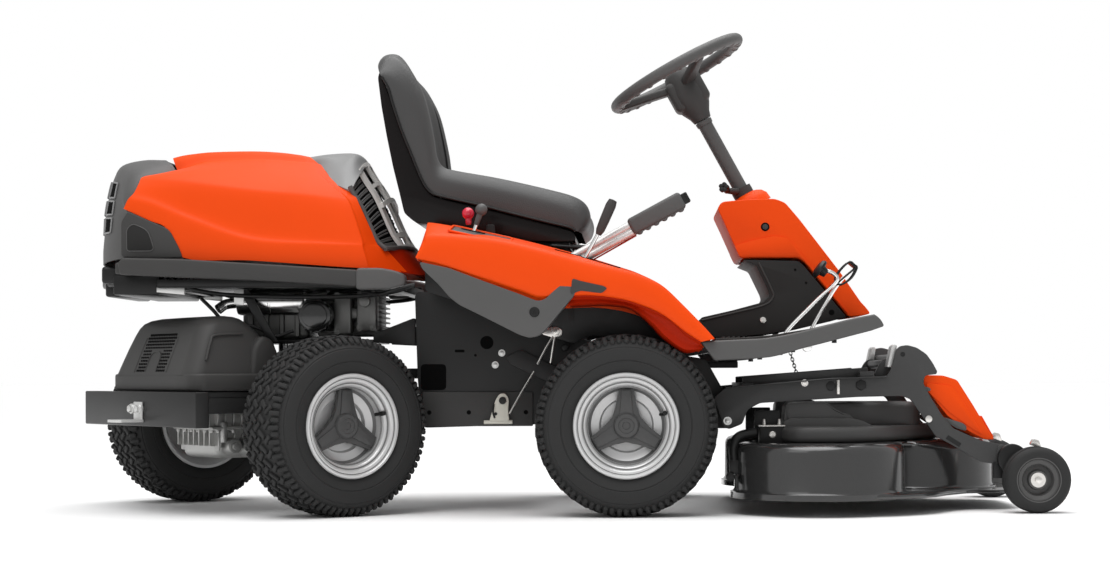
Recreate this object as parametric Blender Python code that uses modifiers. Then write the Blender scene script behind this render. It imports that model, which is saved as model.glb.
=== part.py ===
"""Riding lawn mower with a front deck and a rear carriage that swings to steer.

World frame: +X forward, +Y to the driver's left, +Z up, in metres. The origin is on the ground, in the
middle of the machine's length and width. The steered rear carriage is modelled straight in its own frame,
whose origin is the steering pivot, and its parent empty turns it to the rest angle.
"""

import math

import bmesh
import bpy
from mathutils import Matrix, Vector

# ---------------------------------------------------------------- driving dimensions
GAP = 0.0004  # clearance between pieces that rest on each other

DATUM_BEHIND_MIDDLE = 0.029  # every X below is measured from this far behind the machine's middle

TYRE_RADIUS = 0.2005
TYRE_HALF_WIDTH = 0.0825
TYRE_STEPS = 24
RIM_STEPS = 20
BORE_RADIUS = 0.0131
AXLE_RADIUS = 0.0127
HALF_TRACK = 0.3575
AXLE_Z = TYRE_RADIUS * math.cos(math.pi / TYRE_STEPS)  # a flat of the faceted tyre meets the ground
FRONT_AXLE_X = 0.18
FRAME_Y = 0.19  # half the distance between the main frame's side plates

PIVOT_X = -0.635
REST_STEER = math.radians(38.0)
REAR_AXLE_X = -0.064  # in the rear carriage's frame

COLUMN_TILT = math.radians(28.8)  # from the vertical, leaning back
COLUMN_UP = Vector((-math.sin(COLUMN_TILT), 0, math.cos(COLUMN_TILT)))
WHEEL_CENTRE = Vector((0.2995, 0, 1.0235))
WHEEL_RING_RADIUS = 0.1615
WHEEL_RING_SECTION = 0.015

HOOD_HALF_WIDTH = 0.280
RAIL_Y = 0.300
FENDER_OUTER_Y = 0.435
FENDER_INNER_Y = 0.235
SKIN = 0.004  # thickness of the moulded shells

DECK_ARM_Y = 0.245
DECK_PIVOT = Vector((0.410, 0, 0.2025))
DECK_WHEEL_RADIUS = 0.0735
DECK_WHEEL_STEPS = 20
DECK_WHEEL_X = 1.0925
DECK_WHEEL_Y = 0.300
BOWL_RADIUS = 0.192
BOWL_TOP_Z = 0.157
SPINDLES = {"right": (0.612, -0.265), "middle": (0.850, 0.0), "left": (0.612, 0.265)}
BLADE_LENGTH = 0.336
PULLEY_Z = 0.172

SIDES = {"right": -1, "left": 1}  # sign of Y


# ---------------------------------------------------------------- scene and materials
def clear_scene():
    for obj in list(bpy.data.objects):
        bpy.data.objects.remove(obj)


def collection(name):
    made = bpy.data.collections.new(name)
    bpy.context.scene.collection.children.link(made)
    return made


clear_scene()
PARTS = collection("riding_lawn_mower")
HELPERS = collection("cutters")


def material(name, colour, roughness, metallic=0.0):
    mat = bpy.data.materials.new(name)
    mat.use_nodes = True
    shader = mat.node_tree.nodes["Principled BSDF"]
    shader.inputs["Base Color"].default_value = (*colour, 1.0)
    shader.inputs["Roughness"].default_value = roughness
    shader.inputs["Metallic"].default_value = metallic
    return mat


ORANGE = ((0.86, 0.085, 0.008), 0.35)
SOOT = ((0.020, 0.020, 0.020), 0.5)
CHARCOAL = ((0.045, 0.045, 0.045), 0.5)
TRIM_GREY = ((0.115, 0.115, 0.115), 0.45)
VINYL = ((0.090, 0.090, 0.090), 0.55)
RUBBER = ((0.030, 0.030, 0.030), 0.85)
SILVER = ((0.60, 0.60, 0.60), 0.3, 0.9)
CASTING = ((0.42, 0.42, 0.42), 0.5, 0.8)
ZINC = ((0.70, 0.68, 0.62), 0.35, 0.9)
RED = ((0.60, 0.010, 0.030), 0.3)


# ---------------------------------------------------------------- shape helpers
def helper(mesh):
    """A hidden object for a shape that is joined to a part or cut from one."""
    obj = bpy.data.objects.new("helper", mesh)
    HELPERS.objects.link(obj)
    obj.hide_render = True
    obj.display_type = "WIRE"
    return obj


def from_bmesh(bm):
    bmesh.ops.recalc_face_normals(bm, faces=bm.faces)
    mesh = bpy.data.meshes.new("shape")
    bm.to_mesh(mesh)
    bm.free()
    return helper(mesh)


def baked(obj):
    """Applies the object's modifiers to its mesh."""
    graph = bpy.context.evaluated_depsgraph_get()
    mesh = bpy.data.meshes.new_from_object(obj.evaluated_get(graph))
    obj.modifiers.clear()
    obj.data = mesh
    return obj


def block(low, high):
    bm = bmesh.new()
    bmesh.ops.create_cube(bm, size=1)
    size = Vector(high) - Vector(low)
    middle = (Vector(high) + Vector(low)) / 2
    bmesh.ops.transform(bm, matrix=Matrix.Translation(middle) @ Matrix.Diagonal((*size, 1)), verts=bm.verts)
    return from_bmesh(bm)


def rod(start, end, radius, end_radius=None, steps=16):
    """A round bar or cone between two points."""
    start = Vector(start)
    end = Vector(end)
    along = end - start
    bm = bmesh.new()
    bmesh.ops.create_cone(
        bm,
        cap_ends=True,
        segments=steps,
        radius1=radius,
        radius2=radius if end_radius is None else end_radius,
        depth=along.length,
    )
    turn = along.to_track_quat("Z", "Y").to_matrix().to_4x4()
    bmesh.ops.transform(bm, matrix=Matrix.Translation((start + end) / 2) @ turn, verts=bm.verts)
    return from_bmesh(bm)


def flat_outline(points, thickness):
    """A filled 2D curve, extruded, as a mesh centred on its own plane."""
    curve = bpy.data.curves.new("outline", "CURVE")
    curve.dimensions = "2D"
    curve.fill_mode = "BOTH"
    curve.extrude = thickness / 2
    spline = curve.splines.new("POLY")
    spline.points.add(len(points) - 1)
    for point, (x, y) in zip(spline.points, points):
        point.co = (x, y, 0, 1)
    spline.use_cyclic_u = True
    obj = bpy.data.objects.new("outline", curve)
    HELPERS.objects.link(obj)
    graph = bpy.context.evaluated_depsgraph_get()
    mesh = bpy.data.meshes.new_from_object(obj.evaluated_get(graph))
    bpy.data.objects.remove(obj)
    bm = bmesh.new()
    bm.from_mesh(mesh)
    bmesh.ops.remove_doubles(bm, verts=bm.verts, dist=1e-6)
    return bm


def plate(outline, y_low, y_high):
    """A side-view outline of (x, z) points, extruded across the machine from y_low to y_high."""
    bm = flat_outline(outline, abs(y_high - y_low))
    turn = Matrix.Rotation(math.pi / 2, 4, "X")
    bmesh.ops.transform(bm, matrix=Matrix.Translation((0, (y_low + y_high) / 2, 0)) @ turn, verts=bm.verts)
    return from_bmesh(bm)


def slab(outline, z_low, z_high):
    """A plan-view outline of (x, y) points, extruded upward from z_low to z_high."""
    bm = flat_outline(outline, z_high - z_low)
    bmesh.ops.transform(bm, matrix=Matrix.Translation((0, 0, (z_low + z_high) / 2)), verts=bm.verts)
    return from_bmesh(bm)


def turned(profile, steps, place, closed=False):
    """A profile of (radius, height) points, screwed about its own Z axis and then placed by a matrix."""
    mesh = bpy.data.meshes.new("profile")
    edges = [(i, i + 1) for i in range(len(profile) - 1)]
    if closed:
        edges.append((len(profile) - 1, 0))
    mesh.from_pydata([(radius, 0, height) for radius, height in profile], edges, [])
    obj = helper(mesh)
    screw = obj.modifiers.new("Screw", "SCREW")
    screw.axis = "Z"
    screw.steps = steps
    screw.render_steps = steps
    screw.use_merge_vertices = True
    screw.merge_threshold = 0.0001
    baked(obj)
    bm = bmesh.new()
    bm.from_mesh(obj.data)
    bpy.data.objects.remove(obj)
    bmesh.ops.remove_doubles(bm, verts=bm.verts, dist=1e-6)
    bmesh.ops.transform(bm, matrix=place, verts=bm.verts)
    return from_bmesh(bm)


def on_axle(outward):
    """Turns a screwed shape so that its own +Z points outward along Y and a flat of it faces the ground."""
    return Matrix.Rotation(-outward * math.pi / 2, 4, "X") @ Matrix.Rotation(math.pi / TYRE_STEPS, 4, "Z")


def skin(rings, thickness):
    """An open sheet through rings of points, one ring after another, given a wall by Solidify."""
    mesh = bpy.data.meshes.new("sheet")
    count = len(rings[0])
    verts = [point for ring in rings for point in ring]
    faces = [
        (r * count + i, r * count + i + 1, (r + 1) * count + i + 1, (r + 1) * count + i)
        for r in range(len(rings) - 1)
        for i in range(count - 1)
    ]
    mesh.from_pydata(verts, [], faces)
    obj = helper(mesh)
    wall = obj.modifiers.new("Solidify", "SOLIDIFY")
    wall.thickness = thickness
    wall.offset = -1
    wall.use_even_offset = True
    return baked(obj)


def rounded(obj, width, segments=1):
    bevel = obj.modifiers.new("Bevel", "BEVEL")
    bevel.width = width
    bevel.segments = segments
    bevel.limit_method = "ANGLE"
    bevel.angle_limit = math.radians(40)
    return baked(obj)


def combine(target, others, operation):
    for other in others:
        modifier = target.modifiers.new(operation.title(), "BOOLEAN")
        modifier.operation = operation
        modifier.object = other
        modifier.solver = "EXACT"
    baked(target)
    for other in others:
        bpy.data.objects.remove(other)
    return target


def joined(first, *others):
    return combine(first, others, "UNION")


def cut(target, *cutters):
    return combine(target, cutters, "DIFFERENCE")


def mirrored(points):
    """The (x, y) outline of the right half, completed with its mirror image."""
    return list(points) + [(x, -y) for x, y in reversed(points)]


def empty(name, place, parent=None, turn=0.0):
    obj = bpy.data.objects.new(name, None)
    PARTS.objects.link(obj)
    obj.location = place
    obj.rotation_euler = (0, 0, turn)
    obj.parent = parent
    bpy.context.view_layer.update()
    return obj


def part(name, shape, finish, parent=None, own_frame=False):
    """Names a finished shape, gives it its material and hangs it on the empty of its joint.

    own_frame says that the shape was modelled in the parent's own frame and not in the world's."""
    HELPERS.objects.unlink(shape)
    PARTS.objects.link(shape)
    shape.name = name
    shape.data.name = name
    shape.hide_render = False
    shape.display_type = "TEXTURED"
    shape.data.materials.clear()
    shape.data.materials.append(material(name, *finish))
    shape.data.shade_smooth()
    shape.data.set_sharp_from_angle(angle=math.radians(32))
    if parent:
        shape.parent = parent
        if not own_frame:
            shape.matrix_parent_inverse = parent.matrix_world.inverted()
    return shape


# ---------------------------------------------------------------- road wheels
def turned_tyre(outward):
    half = TYRE_HALF_WIDTH
    profile = [
        (0.1045, 0.064),
        (0.1200, 0.070),
        (0.1400, half),
        (0.1720, half - 0.003),
        (0.1940, 0.062),
        (TYRE_RADIUS, 0.040),
        (TYRE_RADIUS, -0.040),
        (0.1940, -0.062),
        (0.1720, 0.003 - half),
        (0.1400, -half),
        (0.1200, -0.070),
        (0.1045, -0.064),
        (0.1045, -0.050),
        (0.1600, -0.066),
        (0.1860, 0.0),
        (0.1600, 0.066),
        (0.1045, 0.050),
    ]
    return turned(profile, TYRE_STEPS, on_axle(outward), closed=True)


def turned_rim(outward):
    profile = [
        (BORE_RADIUS, 0.030),
        (0.032, 0.030),
        (0.034, 0.004),
        (0.088, 0.006),
        (0.094, 0.016),
        (0.098, 0.070),
        (0.115, 0.0790),
        (0.115, 0.0745),
        (0.1020, 0.0660),
        (0.1020, -0.0660),
        (0.115, -0.0745),
        (0.115, -0.0790),
        (0.098, -0.070),
        (0.094, -0.002),
        (0.034, -0.004),
        (0.032, -0.030),
        (BORE_RADIUS, -0.030),
    ]
    return turned(profile, RIM_STEPS, on_axle(outward), closed=True)


def road_wheel(name, x, side, parent=None):
    outward = SIDES[side]
    y = outward * HALF_TRACK
    hub = empty(f"{name}_axis", (x, y, AXLE_Z), parent)
    shapes = {"tyre": (turned_tyre(outward), RUBBER), "rim": (turned_rim(outward), SILVER)}
    for kind, (shape, finish) in shapes.items():
        part(f"{name}_{kind}", shape, finish, hub, own_frame=True)


def front_wheels():
    for side in SIDES:
        road_wheel(f"front_wheel_{side}", FRONT_AXLE_X, side)


# ---------------------------------------------------------------- main frame
NECK_Z = (0.302, 0.326)  # the frame's tongue, above the rear carriage's bearing plate
MOUNT_Z = (0.385, 0.393)  # the plate that the engine stands on


def main_frame():
    side_outline = [
        (-0.285, 0.500),
        (-0.285, 0.192),
        (0.090, 0.196),
        (0.110, 0.222),
        (0.250, 0.222),
        (0.330, 0.185),
        (0.421, 0.185),
        (0.421, 0.235),
        (0.360, 0.345),
        (0.080, 0.390),
        (0.040, 0.500),
    ]
    right = plate(side_outline, -FRAME_Y - 0.003, -FRAME_Y + 0.003)
    window = block((-0.262, -FRAME_Y - 0.01, 0.277), (-0.215, -FRAME_Y + 0.01, 0.330))
    cut(right, window)
    left = plate(side_outline, FRAME_Y - 0.003, FRAME_Y + 0.003)
    inner = FRAME_Y - 0.001
    rear_wall = block((-0.285, -inner, 0.275), (-0.279, inner, 0.470))
    floor = block((-0.281, -inner, 0.275), (0.040, inner, 0.281))
    front_wall = block((0.330, -inner, 0.230), (0.336, inner, 0.340))
    axle_beam = block((FRONT_AXLE_X - 0.02, -0.262, 0.190), (FRONT_AXLE_X + 0.02, 0.262, 0.226))
    axle = rod((FRONT_AXLE_X, -0.405, AXLE_Z), (FRONT_AXLE_X, 0.405, AXLE_Z), AXLE_RADIUS, steps=12)
    tongue = slab([(-0.28, -0.06), (PIVOT_X, -0.05), (PIVOT_X, 0.05), (-0.28, 0.06)], *NECK_Z)
    bearing = rod((PIVOT_X, 0, NECK_Z[0]), (PIVOT_X, 0, NECK_Z[1]), 0.070, steps=20)
    deck_pin = rod((DECK_PIVOT.x, -0.2415, DECK_PIVOT.z), (DECK_PIVOT.x, 0.2415, DECK_PIVOT.z), 0.010, steps=12)
    seat_posts = [
        block((x, -0.16, 0.279), (x + 0.03, -0.13, 0.598))
        for x in (-0.20, 0.005)
    ] + [
        block((x, 0.13, 0.279), (x + 0.03, 0.16, 0.598))
        for x in (-0.20, 0.005)
    ]
    engine_posts = [
        block((-0.545, y - 0.012, NECK_Z[1] - 0.003), (-0.515, y + 0.012, MOUNT_Z[0] + 0.002))
        for y in (-0.035, 0.035)
    ]
    mount = slab(mirrored([(-0.40, -0.13), (-0.66, -0.13), (-0.72, -0.09)]), *MOUNT_Z)
    shaft_hole = rod((PIVOT_X, 0, 0.35), (PIVOT_X, 0, 0.42), 0.0145, steps=16)
    cut(mount, shaft_hole)
    column_foot = block((0.395, -0.03, 0.335), (0.520, 0.03, 0.365))
    column_strut = block((0.300, -0.05, 0.325), (0.520, 0.05, 0.340))
    shape = joined(
        right, left, rear_wall, floor, front_wall, axle_beam, axle, tongue, bearing, deck_pin,
        *seat_posts, *engine_posts, mount, column_strut, column_foot,
    )
    part("main_frame", shape, SOOT)


# ---------------------------------------------------------------- engine
def engine():
    deck = MOUNT_Z[1] + GAP
    crankcase = rounded(block((-0.715, -0.095, deck), (-0.560, 0.095, 0.560)), 0.012)
    cylinder = rounded(block((-0.570, -0.085, deck + 0.015), (-0.385, 0.085, 0.504)), 0.010)
    blower = rod((PIVOT_X, 0, 0.55), (PIVOT_X, 0, 0.700), 0.150, 0.130, steps=24)
    air_cleaner = rounded(block((-0.52, -0.06, 0.500), (-0.42, 0.06, 0.640)), 0.010)
    part("engine_block", joined(crankcase, cylinder, blower, air_cleaner), CASTING)
    muffler = rounded(block((-0.716, -0.190, 0.455), (-0.580, -0.100, 0.508)), 0.015, 2)
    part("muffler", muffler, SILVER)
    body = rod((-0.532, -0.200, 0.447), (-0.532, -0.088, 0.447), 0.038, steps=20)
    part("oil_filter", rounded(body, 0.006), SOOT)
    crank = rod((PIVOT_X, 0, 0.332), (PIVOT_X, 0, MOUNT_Z[1] - GAP), 0.0125, steps=16)
    sheave = rod((PIVOT_X, 0, 0.336), (PIVOT_X, 0, 0.364), 0.050, steps=20)
    axis = empty("engine_axis", (PIVOT_X, 0, 0.35))
    part("engine_pulley", joined(sheave, crank), CASTING, axis)


def engine_tray():
    rails = [
        block((-0.945, side * 0.235 - 0.012, 0.486), (-0.330, side * 0.235 + 0.012, 0.504))
        for side in SIDES.values()
    ]
    rear_box = block((-0.945, -0.240, 0.486), (-0.870, 0.240, 0.528))
    front_bar = block((-0.350, -0.240, 0.486), (-0.325, 0.240, 0.504))
    legs = []
    for side in SIDES.values():
        for x in (-0.655, -0.435):
            legs.append(block((x - 0.014, side * 0.118 - 0.004, MOUNT_Z[1] + GAP), (x + 0.014, side * 0.118 + 0.004, 0.500)))
            low_y, high_y = sorted((side * 0.114, side * 0.235))
            legs.append(block((x - 0.014, low_y, 0.488), (x + 0.014, high_y, 0.500)))
    shape = joined(rear_box, *rails, front_bar)
    part("engine_tray", shape, SOOT)
    return legs


def tank_and_battery():
    tank = rounded(block((-0.200, 0.245, 0.430), (0.010, 0.400, 0.540)), 0.020, 2)
    part("fuel_tank", tank, SOOT)
    battery = rounded(block((-0.255, -0.090, 0.282), (-0.075, 0.090, 0.450)), 0.004)
    part("battery", battery, SOOT)


# ---------------------------------------------------------------- hood
def hood_section(x_bottom, x_waist, x_shoulder, x_top, bottom, top, wide):
    """Half section of the hood from its lower edge up to the centre line, as (x, y, z) points."""
    waist = bottom + 0.30 * (top - bottom)
    shoulder = bottom + 0.68 * (top - bottom)
    return [
        (x_bottom, -wide, bottom),
        (x_waist, -wide + 0.006, waist),
        (x_shoulder, -wide + 0.040, shoulder),
        (x_shoulder, -wide + 0.052, shoulder + 0.012),
        ((x_shoulder + x_top) / 2, -wide * 0.50, top - 0.010),
        (x_top, -wide * 0.38, top),
        (x_top, 0, top + 0.003),
    ]


def both_sides(half):
    return half + [(x, -y, z) for x, y, z in reversed(half[:-1])]


def hood():
    axis = empty("hood_hinge", (-1.030, 0, 0.535))
    wide = HOOD_HALF_WIDTH
    stations = [
        hood_section(-0.810, -0.850, -0.925, -0.925, 0.575, 0.808, wide - 0.016),
        hood_section(-0.780, -0.790, -0.830, -0.850, 0.574, 0.829, wide - 0.004),
        hood_section(-0.700, -0.700, -0.720, -0.740, 0.568, 0.835, wide),
        hood_section(-0.520, -0.540, -0.560, -0.620, 0.557, 0.828, wide - 0.002),
        hood_section(-0.300, -0.385, -0.450, -0.545, 0.544, 0.815, wide - 0.012),
    ]
    part("hood_shell", skin([both_sides(s) for s in stations], SKIN), ORANGE, axis)
    behind = [
        hood_section(-0.820, -0.860, -0.933, -0.930, 0.575, 0.806, wide - 0.016),
        hood_section(-0.950, -0.960, -0.960, -0.955, 0.577, 0.800, wide - 0.022),
        hood_section(-1.010, -1.005, -0.990, -0.985, 0.560, 0.790, wide - 0.060),
        hood_section(-1.052, -1.045, -1.025, -1.015, 0.530, 0.768, wide - 0.110),
    ]
    tail = [(y * 0.9, z) for _, y, z in both_sides(behind[-1])]
    rings = [both_sides(s) for s in behind]
    rings.append([(-1.060 + 0.25 * max(z - 0.66, 0), y * 0.55, 0.54 + (z - 0.53) * 0.92) for y, z in tail])
    part("hood_rear_grille", skin(rings, SKIN), CHARCOAL, axis)
    front = [
        hood_section(-0.290, -0.377, -0.442, -0.537, 0.544, 0.815, wide - 0.013),
        hood_section(-0.262, -0.350, -0.425, -0.470, 0.545, 0.812, wide - 0.060),
        hood_section(-0.246, -0.325, -0.395, -0.445, 0.548, 0.804, wide - 0.150),
    ]
    part("hood_front_grille", skin([both_sides(s) for s in front], SKIN), TRIM_GREY)


def hood_rail():
    bar = [(-0.940, 0.534), (-0.940, 0.568), (-0.420, 0.543), (-0.345, 0.538), (-0.345, 0.506), (-0.420, 0.506)]
    right = rounded(plate(bar, -RAIL_Y - 0.013, -RAIL_Y + 0.013), 0.005)
    left = rounded(plate(bar, RAIL_Y - 0.013, RAIL_Y + 0.013), 0.005)
    rear = block((-0.962, -RAIL_Y - 0.008, 0.536), (-0.936, RAIL_Y + 0.008, 0.562))
    ties = [
        block((x, -RAIL_Y, z), (x + 0.030, RAIL_Y, z + 0.008))
        for x, z in ((-0.860, 0.538), (-0.400, 0.508))
    ]
    part("hood_rail", joined(right, left, rear, *ties), CHARCOAL)


# ---------------------------------------------------------------- seat
SEAT_HINGE = Vector((0.045, 0, 0.606))
SEAT_SLIDE = Vector((-0.090, 0, 0.620))


def seat():
    tilt = empty("seat_hinge", SEAT_HINGE)
    base = joined(
        block((-0.225, -0.175, 0.601), (0.050, 0.175, 0.607)),
        block((-0.225, -0.175, 0.603), (0.050, -0.160, 0.614)),
        block((-0.225, 0.160, 0.603), (0.050, 0.175, 0.614)),
    )
    part("seat_base", base, SOOT, tilt)
    slide = empty("seat_slide", SEAT_SLIDE - SEAT_HINGE, tilt)
    pan_outline = [
        (-0.396, 1.040), (-0.394, 0.990), (-0.370, 0.860), (-0.336, 0.720), (-0.322, 0.676), (-0.298, 0.658),
        (-0.200, 0.648), (-0.120, 0.616), (0.030, 0.616), (0.072, 0.622), (0.052, 0.640),
        (-0.086, 0.672), (-0.222, 0.704), (-0.262, 0.716), (-0.292, 0.760), (-0.352, 0.930), (-0.380, 1.030),
    ]
    pan = rounded(plate(pan_outline, -0.215, 0.215), 0.006)
    part("seat_pan", pan, SOOT, slide)
    cushion_outline = [
        (-0.378, 1.034), (-0.350, 0.932), (-0.290, 0.762), (-0.260, 0.7175), (-0.222, 0.706), (-0.086, 0.6745),
        (0.053, 0.642), (0.080, 0.628), (0.100, 0.650), (0.097, 0.690), (0.072, 0.714), (0.010, 0.732),
        (-0.110, 0.760), (-0.225, 0.780), (-0.256, 0.800), (-0.262, 0.880), (-0.290, 0.960), (-0.335, 1.035),
        (-0.362, 1.072), (-0.392, 1.082), (-0.408, 1.070), (-0.400, 1.044),
    ]
    cushion = rounded(plate(cushion_outline, -0.225, 0.225), 0.014, 2)
    part("seat_cushion", cushion, VINYL, slide)
    lever_axis = empty("seat_lever_axis", Vector((0.010, -0.200, 0.603)) - SEAT_SLIDE, slide)
    lever = joined(
        rod((0.010, -0.226, 0.603), (0.010, -0.178, 0.603), 0.004, steps=10),
        rod((0.010, -0.223, 0.603), (0.075, -0.223, 0.598), 0.004, steps=10),
        rod((0.060, -0.223, 0.599), (0.100, -0.223, 0.596), 0.006, steps=10),
    )
    part("seat_lever", lever, SOOT, lever_axis)


# ---------------------------------------------------------------- body panels
def fender_outline():
    return [
        (-0.285, 0.566), (-0.264, 0.638), (-0.250, 0.648), (-0.146, 0.629), (0.010, 0.592), (0.165, 0.547),
        (0.255, 0.512), (0.344, 0.424), (0.374, 0.392),
    ]


def lowered(points, drop):
    return [(x, z - drop) for x, z in points]


def fenders():
    top = fender_outline()
    inner_edge = [(0.330, 0.372), (0.300, 0.372), (0.240, 0.440), (0.185, 0.470), (0.060, 0.474), (-0.009, 0.474)]
    outer_edge = [
        (0.352, 0.390), (0.340, 0.381), (0.297, 0.422), (0.253, 0.459), (0.221, 0.478), (0.123, 0.508),
        (0.054, 0.520), (0.004, 0.482), (-0.009, 0.476), (-0.050, 0.492), (-0.136, 0.520), (-0.223, 0.549),
    ]
    for side, sign in SIDES.items():
        outer = sign * FENDER_OUTER_Y
        inner = sign * FENDER_INNER_Y
        skin_in = outer - sign * SKIN
        solid = plate(top + [(0.330, 0.372)] + inner_edge[1:] + [(-0.223, 0.549)], *sorted((outer, inner)))
        hollow = plate(
            lowered([(-0.270, 0.560)] + top[1:], SKIN) + [(0.350, 0.300), (-0.300, 0.300)],
            *sorted((skin_in, inner + sign * SKIN)),
        )
        under_skirt = plate(
            outer_edge + [(-0.400, 0.560), (-0.400, 0.300), (0.500, 0.300), (0.500, 0.360)],
            *sorted((outer + sign * 0.02, skin_in - sign * 0.01)),
        )
        cutters = [rounded(solid, 0.010), hollow, under_skirt]
        shape = cut(cutters[0], *cutters[1:])
        if side == "right":
            panel_slot = block((-0.235, -0.352, 0.500), (-0.095, -0.262, 0.700))
            lever_slot = block((-0.060, -0.286, 0.530), (0.160, -0.240, 0.700))
            height_slot = block((0.035, -0.320, 0.530), (0.150, -0.294, 0.700))
            shape = cut(shape, panel_slot, lever_slot, height_slot)
        part(f"fender_{side}", shape, ORANGE)


def side_panels():
    outline = [
        (-0.262, 0.5500), (-0.203, 0.5360), (-0.136, 0.5150), (-0.050, 0.4870), (-0.009, 0.4700), (0.006, 0.4760),
        (0.056, 0.5140), (0.080, 0.5020), (0.069, 0.4810), (0.010, 0.4120), (-0.007, 0.3950), (-0.029, 0.3900),
        (-0.051, 0.3970), (-0.138, 0.4410), (-0.181, 0.4620), (-0.225, 0.5060),
    ]
    for side, sign in SIDES.items():
        shape = plate(outline, *sorted((sign * 0.405, sign * 0.433)))
        part(f"side_panel_{side}", rounded(shape, 0.005), TRIM_GREY)


# ---------------------------------------------------------------- console and floor
CONSOLE_Y = 0.150


def console():
    outline = [
        (0.441, 0.577), (0.406, 0.656), (0.390, 0.693), (0.399, 0.707), (0.521, 0.714), (0.545, 0.704),
        (0.625, 0.605), (0.706, 0.494), (0.719, 0.471), (0.742, 0.450), (0.690, 0.444), (0.588, 0.570), (0.575, 0.577),
    ]
    body = rounded(plate(outline, -CONSOLE_Y, CONSOLE_Y), 0.012, 2)
    hollow_outline = [
        (0.300, 0.500), (0.400, 0.640), (0.402, 0.690), (0.410, 0.702), (0.519, 0.709), (0.540, 0.700),
        (0.621, 0.602), (0.702, 0.491), (0.712, 0.474), (0.700, 0.400),
    ]
    hollow = plate(hollow_outline, -CONSOLE_Y + SKIN, CONSOLE_Y - SKIN)
    boss_low = WHEEL_CENTRE - COLUMN_UP * 0.400
    boss = rod(boss_low, WHEEL_CENTRE - COLUMN_UP * 0.335, 0.046, 0.036, steps=20)
    bore = rod(WHEEL_CENTRE - COLUMN_UP * 0.480, WHEEL_CENTRE - COLUMN_UP * 0.300, 0.0180, steps=20)
    body = cut(body, hollow)
    shape = cut(joined(body, boss), bore)
    part("console_cover", shape, ORANGE)

    side_outline = [
        (0.442, 0.573), (0.572, 0.573), (0.583, 0.563), (0.682, 0.442), (0.660, 0.436), (0.585, 0.417),
        (0.500, 0.404), (0.352, 0.396), (0.347, 0.441), (0.495, 0.477), (0.507, 0.497), (0.476, 0.566),
    ]
    tower = plate(side_outline, -0.170, 0.170)
    inside = plate(
        [(0.486, 0.600), (0.600, 0.600), (0.672, 0.445), (0.600, 0.380), (0.360, 0.380), (0.352, 0.436), (0.500, 0.473),
         (0.512, 0.497), (0.484, 0.566)],
        -0.164,
        0.164,
    )
    part("console_base", cut(tower, inside), CHARCOAL)


def floor_and_trim():
    platform = [
        (0.376, 0.3895), (0.430, 0.3900), (0.500, 0.3960), (0.585, 0.4100), (0.660, 0.4280), (0.712, 0.4380),
        (0.712, 0.4320), (0.660, 0.4220), (0.585, 0.4040), (0.500, 0.3900), (0.430, 0.3840), (0.376, 0.3835),
    ]
    floor = plate(platform, -0.379, 0.379)
    pedal_slot = block((0.505, -0.325, 0.350), (0.678, -0.200, 0.460))
    brake_slot = block((0.505, 0.200, 0.350), (0.678, 0.325, 0.460))
    column_slot = block((0.380, -0.100, 0.350), (0.540, 0.100, 0.460))
    part("footplate", cut(floor, pedal_slot, brake_slot, column_slot), CHARCOAL)

    band = [
        (0.374, 0.384), (0.429, 0.386), (0.500, 0.391), (0.585, 0.408), (0.659, 0.428), (0.720, 0.439), (0.733, 0.430),
        (0.741, 0.414), (0.713, 0.404), (0.604, 0.376), (0.516, 0.352), (0.473, 0.345), (0.374, 0.340),
    ]
    trim = plate(band, -0.412, 0.412)
    opening = block((0.300, -0.3796, 0.300), (0.7125, 0.3796, 0.460))
    part("bumper_trim", cut(rounded(trim, 0.004), opening), TRIM_GREY)


# ---------------------------------------------------------------- steering
def steering():
    slide = empty("column_slide", WHEEL_CENTRE)
    shaft_top = WHEEL_CENTRE - COLUMN_UP * 0.128
    shaft = rod(WHEEL_CENTRE - COLUMN_UP * 0.460, shaft_top, 0.0170, steps=20)
    part("steering_shaft", shaft, SOOT, slide)

    axis = empty("steering_axis", (0, 0, 0), slide)
    turn = COLUMN_UP.to_track_quat("Z", "Y").to_matrix().to_4x4()
    place = Matrix.Translation(WHEEL_CENTRE) @ turn
    ring_profile = [
        (
            WHEEL_RING_RADIUS + WHEEL_RING_SECTION * math.cos(a * math.tau / 8),
            WHEEL_RING_SECTION * math.sin(a * math.tau / 8),
        )
        for a in range(8)
    ]
    ring = turned(ring_profile, 32, place, closed=True)
    hub_profile = [
        (0.0, 0.004), (0.036, 0.004), (0.044, -0.020), (0.048, -0.080), (0.040, -0.112), (0.022, -0.1275), (0.0, -0.1275),
    ]
    hub = turned(hub_profile, 20, place)
    spokes = []
    for degrees in (20, 160, 270):
        angle = math.radians(degrees)
        inner = place @ Vector((0.02 * math.cos(angle), 0.02 * math.sin(angle), -0.030))
        outer = place @ Vector((0.158 * math.cos(angle), 0.158 * math.sin(angle), -0.003))
        spokes.append(rod(inner, outer, 0.013, 0.009, steps=8))
    part("steering_wheel", joined(hub, ring, *spokes), CHARCOAL, axis)

    knob_from = Vector((0.424, -0.012, 0.742)) + Vector((-0.008, -0.030, 0.0))
    knob_axis = empty("column_knob_axis", knob_from)
    knob = joined(
        rod(knob_from, knob_from + Vector((-0.010, -0.030, 0.006)), 0.010, steps=12),
        rod(knob_from + Vector((-0.006, -0.018, 0.0036)), knob_from + Vector((-0.012, -0.036, 0.0072)), 0.016, steps=12),
    )
    part("column_knob", knob, SOOT, knob_axis)


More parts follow.
